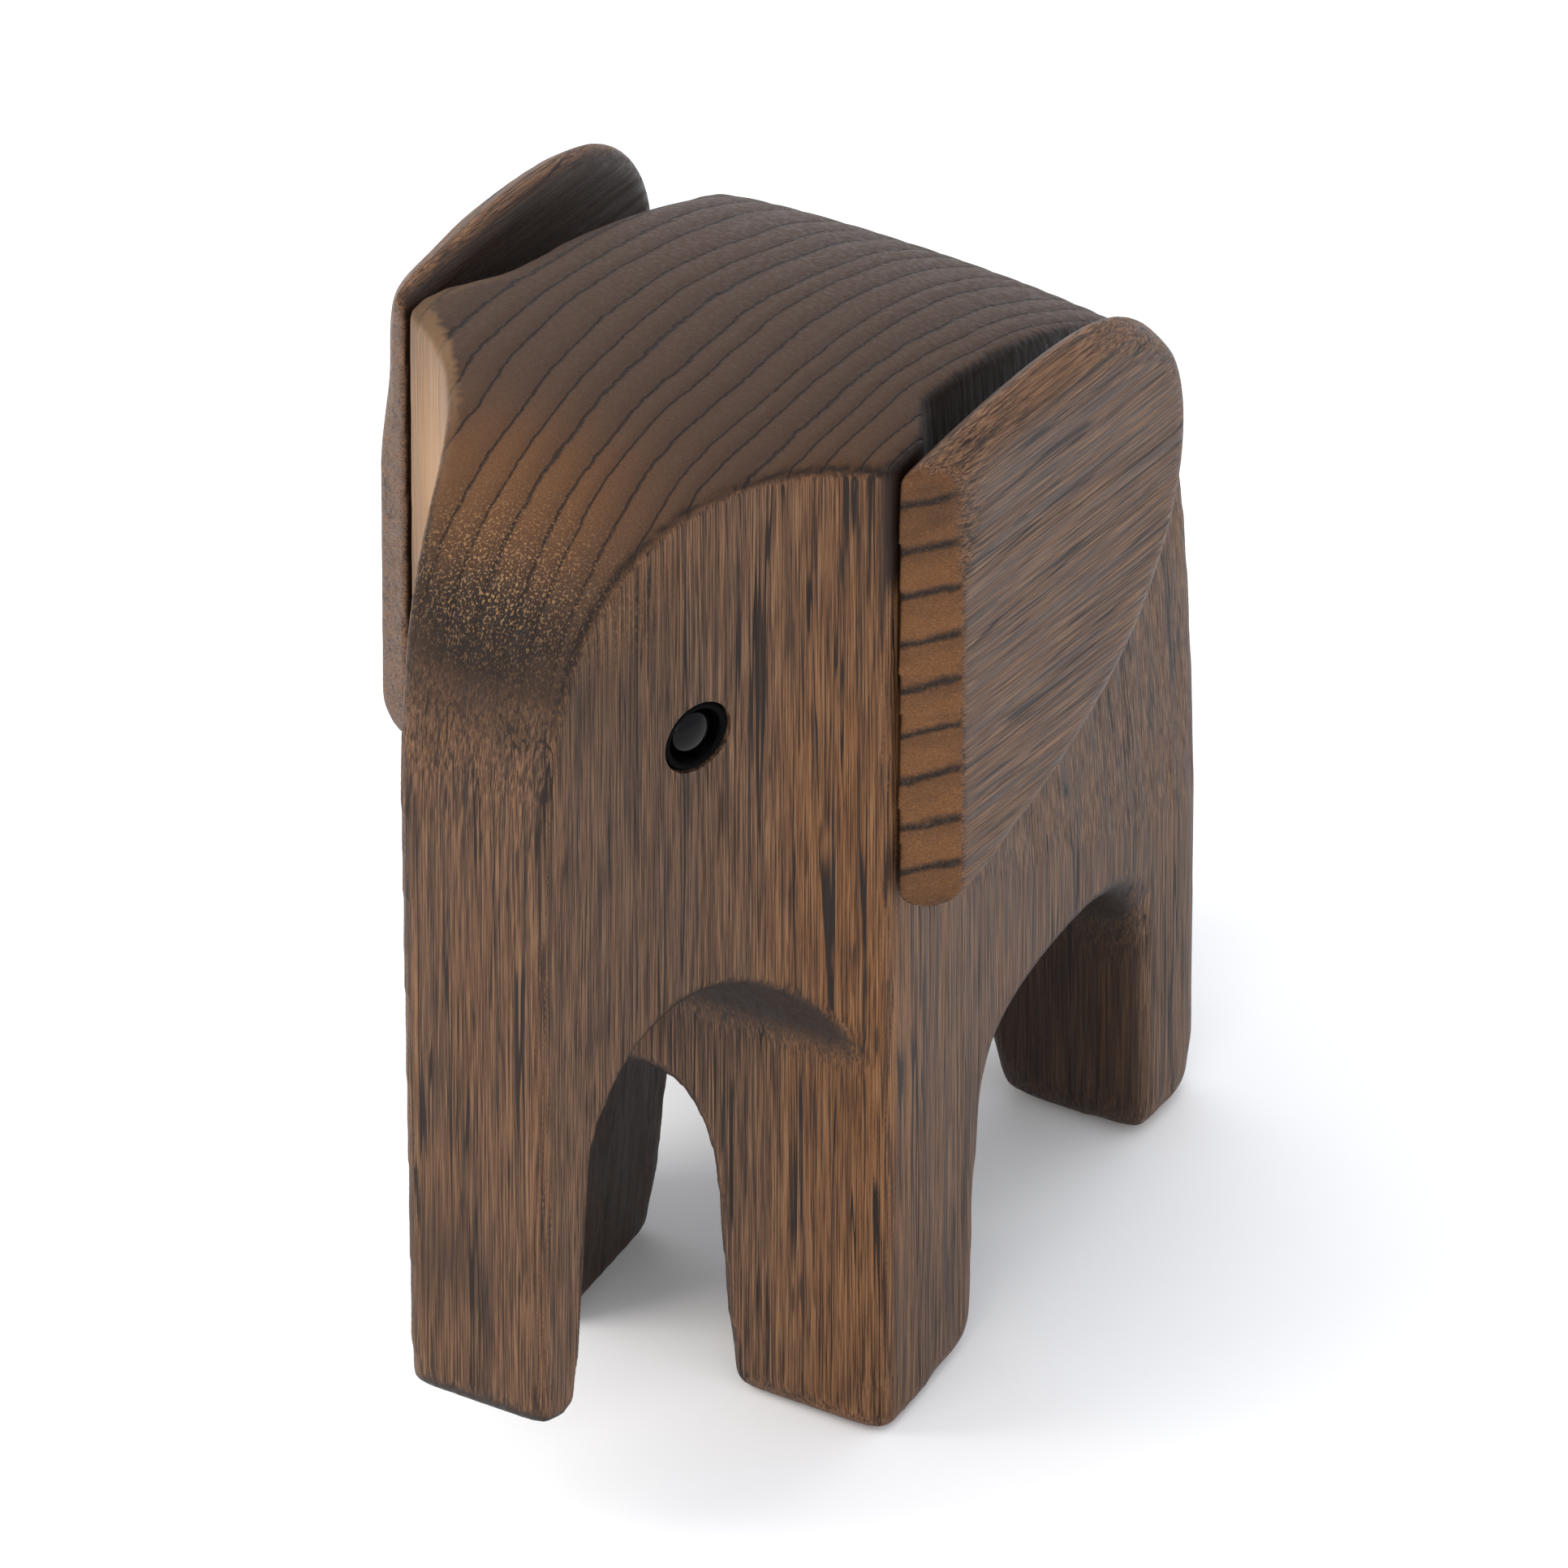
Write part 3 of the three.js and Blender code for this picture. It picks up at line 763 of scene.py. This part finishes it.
@dataclass
class CarvedBody:
    """The one-piece block: head, trunk, back and legs. Its sizes are in millimetres."""

    voxel: float = 0.55
    edge_radius: float = 1.4
    crease_radius: float = 0.6
    leg_radius: float = 3.4
    hind_leg_radius: float = 4.8
    foot_radius: float = 2.4
    hind_foot_radius: float = 4.2
    back_radius: float = 6.5
    rump_radius: float = 2.6
    tip_share: float = 0.7
    ring_near: float = 1.95
    ring_far: float = 3.5
    half_width: float = 22.0
    ring_depth: float = 0.14
    ring_waves: tuple[Wave, ...] = (Wave(0.9, 17, 3.1, 0.5), Wave(0.3, 6, 7.7, 0.4))
    ring_beats: tuple[Beat, ...] = (Beat(0.11, 2.3, 0.0), Beat(0.04, 5.1, 1.0))
    plug_depth: float = 5.6
    plug_margin: float = 0.35
    plug_top: float = -0.05
    bore_depth: float = 5.1
    bore_top: float = 3.0
    hole_radius: float = 3.28
    kept_share: float = 0.68
    leg_fill: float = 0.9
    heel_fill: float = 1.0
    head: Zone = (
        Edge(Measure.UP, 62, 68),
        Edge(Measure.BACK, 30, 26),
        Edge(Measure.BACK, 3, 8),
    )
    far_back: Zone = (
        Edge(Measure.LEFT, -11.5, -15.5),
        Edge(Measure.UP, 80, 88),
        Edge(Measure.BACK, 30, 38),
    )
    feet: Zone = (Edge(Measure.UP, 8, 3),)
    trunk_tip: Zone = (Edge(Measure.UP, 20.5, 16.5), Edge(Measure.BACK, 9, 6))
    hind: Zone = (Edge(Measure.BACK, 60, 66),)
    hind_legs: Zone = (Edge(Measure.BACK, 55, 65),)
    rump: Zone = (Edge(Measure.BACK, 74, 79),)
    legs: Zone = (
        Edge(Measure.ACROSS, 13, 17),
        Edge(Measure.BACK, 34, 37),
        Edge(Measure.BACK, 80, 77),
        Edge(Measure.UP, 34, 28),
    )
    leg_insides: Zone = (
        Edge(Measure.ACROSS, 15, 10),
        Edge(Measure.ACROSS, 2, 7),
        Edge(Measure.BACK, 18, 24),
        Edge(Measure.UP, 42, 32),
    )
    front_heels: Zone = (
        Edge(Measure.BACK, 35, 41),
        Edge(Measure.BACK, 52, 46),
        Edge(Measure.UP, 16, 4),
    )
    end_grain: Zone = (Edge(Measure.LEAN_UP, 0.10, 0.55), Edge(Measure.UP, 60, 72))
    # Painted shade: the body's side in the slot behind the left ear.
    slots: Zone = (
        Edge(Measure.LEAN_LEFT, 0.5, 0.8),
        Edge(Measure.UP, 84, 88),
        Edge(Measure.BACK, 27, 29),
        Edge(Measure.BACK, 70, 66),
    )
    # Painted shade where shadow falls: on faces turned down, on the legs' inner faces and on the
    # hind legs' fronts.
    undersides: Zone = (Edge(Measure.LEAN_UP, 0.0, -0.4), Edge(Measure.UP, 4, 10))
    insides: Zone = (Edge(Measure.LEAN_IN, 0.3, 0.8), Edge(Measure.ACROSS, 12, 10))
    hind_fronts: Zone = (Edge(Measure.LEAN_BACK, -0.3, -0.8), Edge(Measure.BACK, 60, 66))
    # Painted shade along the crease between the dome and the cheeks.
    crease: Zone = (
        Edge(Measure.LEAN_ASIDE, 0.2, 0.4),
        Edge(Measure.LEAN_ASIDE, 0.8, 0.6),
        Edge(Measure.LEAN_UP, 0.12, 0.3),
        Edge(Measure.LEAN_UP, 0.85, 0.65),
        Edge(Measure.UP, 60, 66),
        Edge(Measure.BACK, 31, 29),
    )
    # Only faces leaning this far towards the key lamp get the painted light.
    key_facing_lean: float = -0.2
    base_warmth: float = 0.27
    end_warmth: float = 0.1
    slot_shade: float = 0.97
    underside_shade: float = 0.95
    inside_shade: float = 0.8
    hind_front_shade: float = 0.75
    end_shade: float = 0.62
    gold_relief: float = 0.55
    crease_shade: float = 0.5
    gold: Patch = Patch((-3, 13, 94), (11, 8, 8), 1.0)
    warm: tuple[Patch, ...] = (
        Patch((0, 0, 45), (10, 5, 60), 0.2),
        Patch((20, 26, 60), (6, 9, 50), 0.55),
        Patch((20, 27, 20), (10, 4, 40), 0.35),
    )
    # Darker stain patches on the forehead, trunk and cheek, and one patch of painted shade on the
    # near front leg.
    stain_and_painted_shade: tuple[Patch, ...] = (
        Patch((-1, 6, 88), (10, 6, 7), 0.8),
        Patch((0, 0, 45), (7, 3, 70), 0.2),
        Patch((-3, 0, 29), (5, 3, 6), 0.45),
        Patch((11, 12, 66), (5, 8, 22), 0.16),
        # Painted shade low on the near front leg's side, towards its back.
        Patch((15, 36, 6), (10, 8, 6), 0.16),
    )
    fleck: tuple[Patch, ...] = (Patch((-1, 9, 92), (8, 6, 5), 1.0),)
    # Painted light: a pale pool on the far cheek, where the key lamp falls.
    painted_light: tuple[Patch, ...] = (Patch((-19, 12, 84), (6, 14, 16), 1.0),)

    def build(self) -> Piece:
        """Sands the block's edges, cuts its ring furrows and bores its eye holes.

        Returns:
            The finished shape.
        """
        piece = MeshTools.copy_of("body_block", "carved_body")
        eyes = [EyePlace.of(side) for side in Side]
        self.plug(piece, eyes)
        MeshTools.shape(piece, self.radii, self.edge_radius, self.voxel)
        self.fill(piece)
        self.mark(piece, self.furrow(piece))
        MeshTools.thin(piece, self.kept_share)
        self.bore(piece, eyes)
        return piece

    def plug(self, piece: Piece, eyes: list["EyePlace"]) -> None:
        """Fills the eye holes until the surface is sanded."""
        work = bmesh.new()
        work.from_mesh(piece.data)
        radius = self.hole_radius + self.plug_margin
        for eye in eyes:
            work.from_mesh(eye.rod(radius, -self.plug_depth, self.plug_top))
        work.to_mesh(piece.data)
        work.free()

    def bore(self, piece: Piece, eyes: list["EyePlace"]) -> None:
        """Cuts the eye holes with a crisp rim."""
        for eye in eyes:
            work = bmesh.new()
            work.from_mesh(eye.rod(self.hole_radius, -self.bore_depth, self.bore_top))
            cutter = MeshTools.link(work, "cutter")
            cut = piece.modifiers.new("eye_hole", "BOOLEAN")
            cut.operation = "DIFFERENCE"
            cut.solver = "MANIFOLD"
            cut.object = cutter
            MeshTools.settle(piece)
            bpy.data.objects.remove(cutter)
        MeshTools.smooth(piece)

    def radii(self, skin: Skin) -> np.ndarray:
        """The edge rounding wanted at each vertex.

        Args:
            skin: the vertices.

        Returns:
            One radius for each.
        """
        edge = self.edge_radius
        feet = skin.within(self.feet)
        ends = np.maximum(feet, self.tip_share * skin.within(self.trunk_tip))
        hind_more = self.hind_leg_radius - self.leg_radius
        leg = self.leg_radius + hind_more * skin.within(self.hind_legs)
        radius = edge + (self.crease_radius - edge) * skin.within(self.head)
        radius += (self.back_radius - edge) * skin.within(self.far_back)
        radius += (self.foot_radius - edge) * ends
        radius += (self.hind_foot_radius - self.foot_radius) * feet * skin.within(self.hind)
        radius = np.maximum(radius, edge + (leg - edge) * skin.within(self.legs))
        return np.maximum(radius, edge + (self.rump_radius - edge) * skin.within(self.rump))

    def fill(self, piece: Piece) -> None:
        """Makes the legs fuller on their inner faces, and the front feet fuller at the heel."""
        skin = Skin.of(piece)
        inner, heel = skin.within(self.leg_insides), skin.within(self.front_heels)
        points = skin.points
        points[:, 0] -= np.sign(points[:, 0]) * self.leg_fill * inner
        points[:, 1] += self.heel_fill * heel
        MeshTools.place(piece, points)

    def ring(self, points: np.ndarray) -> np.ndarray:
        """The growth-ring count at each point; the rings are upright sheets along Y.

        Args:
            points: the vertices.

        Returns:
            A number that grows by one from ring to ring.
        """
        x = points[:, 0] + sum(wave.at(points) for wave in self.ring_waves)
        middle = (self.ring_near + self.ring_far) / 2
        slope = (self.ring_near - self.ring_far) / (2 * self.half_width)
        count = np.log(middle + slope * x) / slope
        beats = sum(b.size * np.sin(b.rate * count + b.start) for b in self.ring_beats)
        return count + beats

    def furrow(self, piece: Piece) -> Skin:
        """Sinks a shallow furrow along each ring where the surface crosses the fibres.

        Args:
            piece: the body.

        Returns:
            The body's skin before the furrows.
        """
        skin = Skin.of(piece)
        ring, end = self.ring(skin.points), skin.within(self.end_grain)
        depth = self.ring_depth * (1 - np.sqrt(np.abs(np.sin(np.pi * ring)))) * end
        MeshTools.place(piece, skin.points - skin.normals * depth[:, None])
        MeshTools.note(piece, "ring", ring)
        MeshTools.note(piece, "end_grain", end)
        return skin

    def mark(self, piece: Piece, skin: Skin) -> None:
        """Stores the warm spots, the stain with painted shade, the flecks and the painted light on
        the far cheek.

        Args:
            piece: the body.
            skin: its skin before the furrows.
        """
        points, end = skin.points, skin.within(self.end_grain)
        # Painted shade: the faces turned down, the legs' inner faces and the hind legs' fronts are
        # darkened where shadow falls.
        painted_shade = np.maximum.reduce(
            [
                self.underside_shade * skin.within(self.undersides),
                self.inside_shade * skin.within(self.insides),
                self.hind_front_shade * skin.within(self.hind_fronts),
            ]
        )
        stain_and_painted_shade = patched(points, self.stain_and_painted_shade) + painted_shade
        # Painted shade on the body's side in the slot behind the left ear, where the ear shadows
        # it.
        stain_and_painted_shade += self.slot_shade * skin.within(self.slots)
        stain_and_painted_shade += self.end_shade * end * (1 - self.gold_relief * unit(self.gold.at(points)))
        # Painted shade: a thin dark line along the crease between the dome and the cheeks,
        # standing in for a crisp edge's shading.
        stain_and_painted_shade += self.crease_shade * skin.within(self.crease)
        # Painted light on the far cheek's faces that lean towards the key lamp.
        faces_key_lamp = skin.normals[:, 0] < self.key_facing_lean
        warmth = self.base_warmth + self.end_warmth * end
        MeshTools.note(piece, "warmth", warmth + patched(points, (self.gold, *self.warm)))
        MeshTools.note(piece, "stain_and_painted_shade", unit(stain_and_painted_shade))
        MeshTools.note(piece, "fleck", unit(patched(points, self.fleck)))
        MeshTools.note(piece, "painted_light", unit(patched(points, self.painted_light)) * faces_key_lamp)

    def dress(self, piece: Piece) -> None:
        """Gives the body its finish."""
        look = OakFinish("stained_oak", Grain.UPRIGHT).material()
        MeshTools.finish(piece, "body_block", "stained_oak", look)


@dataclass(frozen=True)
class EyePlace:
    """Where an eye sits: a point on the cheek's surface and the way it faces."""

    centre: Vector
    outward: Vector

    @staticmethod
    def of(side: Side) -> "EyePlace":
        """Finds the place from the CAD cup's round shape.

        Args:
            side: which eye.

        Returns:
            Its place.
        """
        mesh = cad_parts[f"{side.name.lower()}_eye_cup"].data
        co = np.unique(np.round([v.co for v in mesh.vertices], PLACE_DIGITS), axis=0)
        spread, ways = np.linalg.eigh(np.cov(co.T))
        # A round shape spreads alike in two ways, and its axis is the third.
        lone = 2 if spread[2] - spread[1] > spread[1] - spread[0] else 0
        axis = Vector(ways[:, lone])
        axis *= math.copysign(1, axis.x * side.value)
        middle = Vector(co.mean(0))
        reach = max((Vector(p) - middle).dot(axis) for p in co)
        return EyePlace(middle + axis * (reach + CUP_RECESS * MM), axis)

    def matrix(self) -> Matrix:
        """Puts local +Z along the eye's axis, with the origin on the cheek."""
        turn = self.outward.to_track_quat("Z", "Y").to_matrix().to_4x4()
        return Matrix.Translation(self.centre) @ turn

    def rod(self, radius: float, low: float, high: float) -> bpy.types.Mesh:
        """A round rod along the eye's axis.

        Args:
            radius: its radius in millimetres.
            low, high: its ends from the cheek's surface, in millimetres.

        Returns:
            The rod's mesh, in place.
        """
        work = bmesh.new()
        middle = Matrix.Translation((0, 0, (low + high) / 2 * MM))
        bmesh.ops.create_cone(
            work,
            cap_ends=True,
            segments=ROUND_SEGMENTS,
            radius1=radius * MM,
            radius2=radius * MM,
            depth=(high - low) * MM,
            matrix=self.matrix() @ middle,
        )
        mesh = bpy.data.meshes.new("rod")
        work.to_mesh(mesh)
        work.free()
        return mesh


@dataclass
class Ear:
    """One flat ear, glued to the body's side. Sizes are in millimetres and the tilt in degrees.

    The zones marked as shares have edges in shares of the ear's box: out, back and up.
    """

    side: Side
    voxel: float = 0.36
    edge_radius: float = 0.8
    shoulder_radius: float = 2.4
    top_radius: float = 4.6
    corner_radius: float = 6.5
    outer_shares: Zone = (Edge(Measure.LEFT, 0.35, 0.6),)
    rear_shares: Zone = (Edge(Measure.BACK, 0.16, 0.3),)
    rim_shares: Zone = (Edge(Measure.UP, 0.86, 0.95),)
    top_shares: Zone = (Edge(Measure.LEFT, 0.3, 0.55), Edge(Measure.UP, 0.68, 0.84))
    corner_shares: Zone = (
        Edge(Measure.LEFT, 0.3, 0.6),
        Edge(Measure.BACK, 0.4, 0.2),
        Edge(Measure.UP, 0.55, 0.8),
    )
    front_shares: Zone = (Edge(Measure.BACK, 0.45, 0.3),)
    high_shares: Zone = (Edge(Measure.UP, 0.7, 0.95),)
    low_shares: Zone = (Edge(Measure.UP, 0.1, 0.0),)
    front_face: Zone = (Edge(Measure.LEAN_BACK, -0.25, -0.6),)
    top_face: Zone = (Edge(Measure.LEAN_UP, 0.2, 0.6),)
    # The face towards the body: painted shade with a darker stain.
    inner_face: Zone = (Edge(Measure.LEAN_IN, 0.3, 0.8),)
    ring_pitch: float = 4.6
    ring_lean: float = 0.35
    ring_wave: Wave = Wave(0.5, 7, 1.3, 1.0, 0.3)
    tilt: float = 11.0
    right_end_share: float = 0.2
    warmth: float = 0.3
    end_warmth: float = 0.7
    top_warmth: float = 0.15
    inner_shade: float = 0.88
    end_shade: float = 0.08
    high_shade: float = 0.3
    low_shade: float = 0.4
    strip_darkening: Wave = Wave(0.35, 3, 4.4, 2.0)
    end_fleck: float = 0.1

    def build(self) -> Piece:
        """Sands the ear and marks its grain.

        Returns:
            The finished shape.
        """
        name = f"{self.side.name.lower()}_ear"
        piece = MeshTools.copy_of(name, f"carved_{name}")
        MeshTools.shape(piece, self.radii, self.edge_radius, self.voxel)
        self.mark(piece)
        return piece

    def shares(self, skin: Skin) -> Skin:
        """Turns a skin's places into shares of the ear's box: out, back and up, 0 to 1."""
        low, high = skin.points.min(0), skin.points.max(0)
        share = (skin.points - low) / (high - low)
        if self.side is Side.RIGHT:
            share[:, 0] = 1 - share[:, 0]
        return Skin(share, skin.normals)

    def radii(self, skin: Skin) -> np.ndarray:
        """The edge rounding wanted at each vertex.

        Args:
            skin: the vertices.

        Returns:
            One radius for each.
        """
        share = self.shares(skin)
        outline = np.maximum(share.within(self.rear_shares), share.within(self.rim_shares))
        shoulder = share.within(self.outer_shares) * outline
        radius = self.edge_radius + (self.shoulder_radius - self.edge_radius) * shoulder
        radius += (self.top_radius - radius) * share.within(self.top_shares)
        if self.side is Side.RIGHT:
            radius += (self.corner_radius - radius) * share.within(self.corner_shares)
        return radius

    def mark(self, piece: Piece) -> None:
        """Stores the ring count and tones, with painted shade and darker stain on the inner face.
        """
        skin = Skin.of(piece)
        share = self.shares(skin)
        x, y, z = skin.points.T
        lean = math.tan(math.radians(self.tilt)) * y - self.ring_lean * np.abs(x)
        level = z + lean + self.ring_wave.at(skin.points)
        end = skin.within(self.front_face) * share.within(self.front_shares)
        end *= 1.0 if self.side is Side.LEFT else self.right_end_share
        # The front strip darkens towards its top and bottom, and in blotches.
        strip_darkening = self.high_shade * share.within(self.high_shares)
        strip_darkening += self.low_shade * share.within(self.low_shares)
        strip_darkening += np.maximum(self.strip_darkening.at(skin.points), 0)
        # Painted shade with a darker stain on the inner face, towards the body.
        stain_and_painted_shade = self.inner_shade * skin.within(self.inner_face) + end * (self.end_shade + strip_darkening)
        warmth = self.warmth + self.end_warmth * end + self.top_warmth * skin.within(self.top_face)
        MeshTools.note(piece, "ring", level / self.ring_pitch)
        MeshTools.note(piece, "end_grain", end)
        MeshTools.note(piece, "warmth", warmth)
        MeshTools.note(piece, "stain_and_painted_shade", unit(stain_and_painted_shade))
        MeshTools.note(piece, "fleck", self.end_fleck * end)
        MeshTools.note(piece, "painted_light", np.zeros(len(end)))

    def dress(self, piece: Piece, look: bpy.types.Material) -> None:
        """Gives the ear its finish."""
        MeshTools.finish(piece, f"{self.side.name.lower()}_ear", "ear_oak", look)


@dataclass
class Eye:
    """A black cup with a domed glass bead in it. Its sizes are in millimetres."""

    side: Side
    cup_radius: float = 3.2
    wall: float = 0.75
    depth: float = 4.7
    floor: float = 1.3
    recess: float = 0.12
    bead_gap: float = 0.3
    bead_recess: float = 0.15
    dome: float = 1.1
    lip_step: int = 20
    dome_step: int = 6

    def turned(self, profile: list[tuple[float, float]], name: str, place: EyePlace) -> Piece:
        """Spins a profile round the eye's axis.

        Args:
            profile: (radius, height) in millimetres, from the axis and back to it.
            name: the object's name.
            place: where the eye sits.

        Returns:
            The turned piece.
        """
        work = bmesh.new()
        verts = [work.verts.new((r * MM, 0, h * MM)) for r, h in profile]
        edges = [work.edges.new(pair) for pair in zip(verts, verts[1:])]
        bmesh.ops.spin(
            work,
            geom=verts + edges,
            cent=(0, 0, 0),
            axis=(0, 0, 1),
            angle=math.tau,
            steps=ROUND_SEGMENTS,
            use_merge=True,
        )
        bmesh.ops.remove_doubles(work, verts=work.verts, dist=MERGE_DISTANCE)
        bmesh.ops.recalc_face_normals(work, faces=work.faces)
        bmesh.ops.transform(work, matrix=place.matrix(), verts=work.verts)
        piece = MeshTools.link(work, name)
        MeshTools.smooth(piece)
        return piece

    def cup(self, place: EyePlace) -> Piece:
        """The cup, with a rounded lip.

        Args:
            place: where the eye sits.

        Returns:
            The piece.
        """
        lip = self.wall / 2
        centre = self.cup_radius - lip
        turns = [math.radians(a) for a in range(0, HALF_TURN + 1, self.lip_step)]
        arc = [(centre + lip * math.cos(a), lip * math.sin(a) - self.recess - lip) for a in turns]
        inner = self.cup_radius - self.wall
        profile = [(0, -self.depth), (self.cup_radius, -self.depth), *arc]
        profile += [(inner, -self.depth + self.floor), (0, -self.depth + self.floor)]
        return self.turned(profile, f"{self.side.name.lower()}_cup", place)

    def bead(self, place: EyePlace) -> Piece:
        """The bead, domed in front.

        Args:
            place: where the eye sits.

        Returns:
            The piece.
        """
        radius = self.cup_radius - self.wall - self.bead_gap
        low = -self.depth + self.floor + self.bead_gap
        shoulder = -self.bead_recess - self.dome
        turns = [math.radians(a) for a in range(0, QUARTER_TURN, self.dome_step)]
        arc = [(radius * math.cos(a), shoulder + self.dome * math.sin(a)) for a in turns]
        profile = [(0, low), (radius, low), *arc, (0, -self.bead_recess)]
        return self.turned(profile, f"{self.side.name.lower()}_bead", place)

    def dress(self, cup: Piece, bead: Piece, looks: dict[str, bpy.types.Material]) -> None:
        """Gives the cup and bead their finishes."""
        side = self.side.name.lower()
        MeshTools.finish(cup, f"{side}_eye_cup", "black_cup", looks["cup"])
        MeshTools.finish(bead, f"{side}_eye_bead", "black_bead", looks["bead"])


@dataclass(frozen=True)
class Lamp:
    """A soft square lamp: its place and its side in metres, its power in watts and its colour."""

    name: str
    place: tuple[float, float, float]
    size: float
    watts: float
    tint: tuple[float, float, float]


@dataclass
class Studio:
    """The floor, the lights and the camera. Angles are in degrees and other sizes in metres."""

    azimuth: float = 29.0
    elevation: float = 37.5
    distance: float = 3.0
    lens: float = 849.7
    sensor: float = 36.0
    clip: tuple[float, float] = (0.05, 50.0)
    target: tuple[float, float, float] = (0.0, 0.00905, 0.04346)
    aim: tuple[float, float, float] = (0.0, 0.0, 0.05)
    lamps: tuple[Lamp, ...] = (
        Lamp("key", (-0.60, -0.55, 0.70), 0.5, 4.8, (1.0, 0.94, 0.86)),
        Lamp("front", (0.25, -0.90, 0.45), 0.7, 2.0, (1.0, 0.93, 0.84)),
        Lamp("top", (-0.15, 0.0, 0.95), 0.8, 2.2, (0.92, 0.96, 1.0)),
    )
    sky: tuple[float, float, float, float] = (0.94, 0.96, 1.0, 1.0)
    sky_strength: float = 1.12
    floor_size: float = 6.0
    floor_low: tuple = linear(246, 246, 247)
    floor_high: tuple = linear(250, 250, 251)
    floor_cloud: tuple[float, float, float] = (3.0, 3.0, 0.6)
    floor_ramp: Ramp = Ramp(0.3, 0.7)
    floor_roughness: float = 0.9

    def lamp(self, lamp: Lamp) -> None:
        """Adds a lamp that faces the elephant."""
        light = bpy.data.lights.new(lamp.name, "AREA")
        light.size, light.energy, light.color = lamp.size, lamp.watts, lamp.tint
        stand = bpy.data.objects.new(lamp.name, light)
        stand.location = lamp.place
        way = Vector(self.aim) - Vector(lamp.place)
        stand.rotation_euler = way.to_track_quat("-Z", "Y").to_euler()
        bpy.context.scene.collection.objects.link(stand)

    def floor(self) -> None:
        """Adds the pale floor."""
        work = bmesh.new()
        bmesh.ops.create_grid(work, x_segments=1, y_segments=1, size=self.floor_size)
        floor = MeshTools.link(work, "floor")
        graph = NodeGraph("pale_floor")
        place = graph.add("ShaderNodeTexCoord").outputs["Object"]
        tone = graph.ramp(graph.noise(place, *self.floor_cloud), self.floor_ramp)
        fed = {
            "Base Color": graph.blend(tone, self.floor_low, self.floor_high),
            "Roughness": self.floor_roughness,
        }
        floor.data.materials.append(graph.output(graph.add("ShaderNodeBsdfPrincipled", fed)))

    def build(self) -> None:
        """Sets up the floor, the light and the camera."""
        self.floor()
        world = bpy.data.worlds.new("studio")
        world.use_nodes = True
        sky = world.node_tree.nodes["Background"].inputs
        sky["Color"].default_value = self.sky
        sky["Strength"].default_value = self.sky_strength
        bpy.context.scene.world = world
        bpy.context.scene.view_settings.view_transform = "Standard"
        for lamp in self.lamps:
            self.lamp(lamp)
        self.camera()

    def camera(self) -> None:
        """Sets the camera."""
        a, e = math.radians(self.azimuth), math.radians(self.elevation)
        back = Vector((math.sin(a) * math.cos(e), -math.cos(a) * math.cos(e), math.sin(e)))
        data = bpy.data.cameras.new("camera")
        data.lens, data.sensor_width = self.lens, self.sensor
        data.clip_start, data.clip_end = self.clip
        camera = bpy.data.objects.new("camera", data)
        camera.location = Vector(self.target) + back * self.distance
        camera.rotation_euler = (-back).to_track_quat("-Z", "Y").to_euler()
        bpy.context.scene.collection.objects.link(camera)
        bpy.context.scene.camera = camera


def main() -> None:
    """Builds every piece in order and dresses it."""
    logging.basicConfig(level=logging.INFO, format="%(message)s")
    body = CarvedBody()
    body.dress(body.build())
    ear_look = OakFinish("ear_oak", Grain.LENGTHWISE, line_width=0.2).material()
    looks = {
        "cup": GlossFinish("black_cup", roughness=0.6, shine=0.03).material(),
        "bead": GlossFinish("black_bead", roughness=0.07, shine=0.13).material(),
    }
    for side in Side:
        ear = Ear(side)
        ear.dress(ear.build(), ear_look)
        eye, place = Eye(side), EyePlace.of(side)
        eye.dress(eye.cup(place), eye.bead(place), looks)
    Studio().build()


if __name__ == "__main__":
    main()
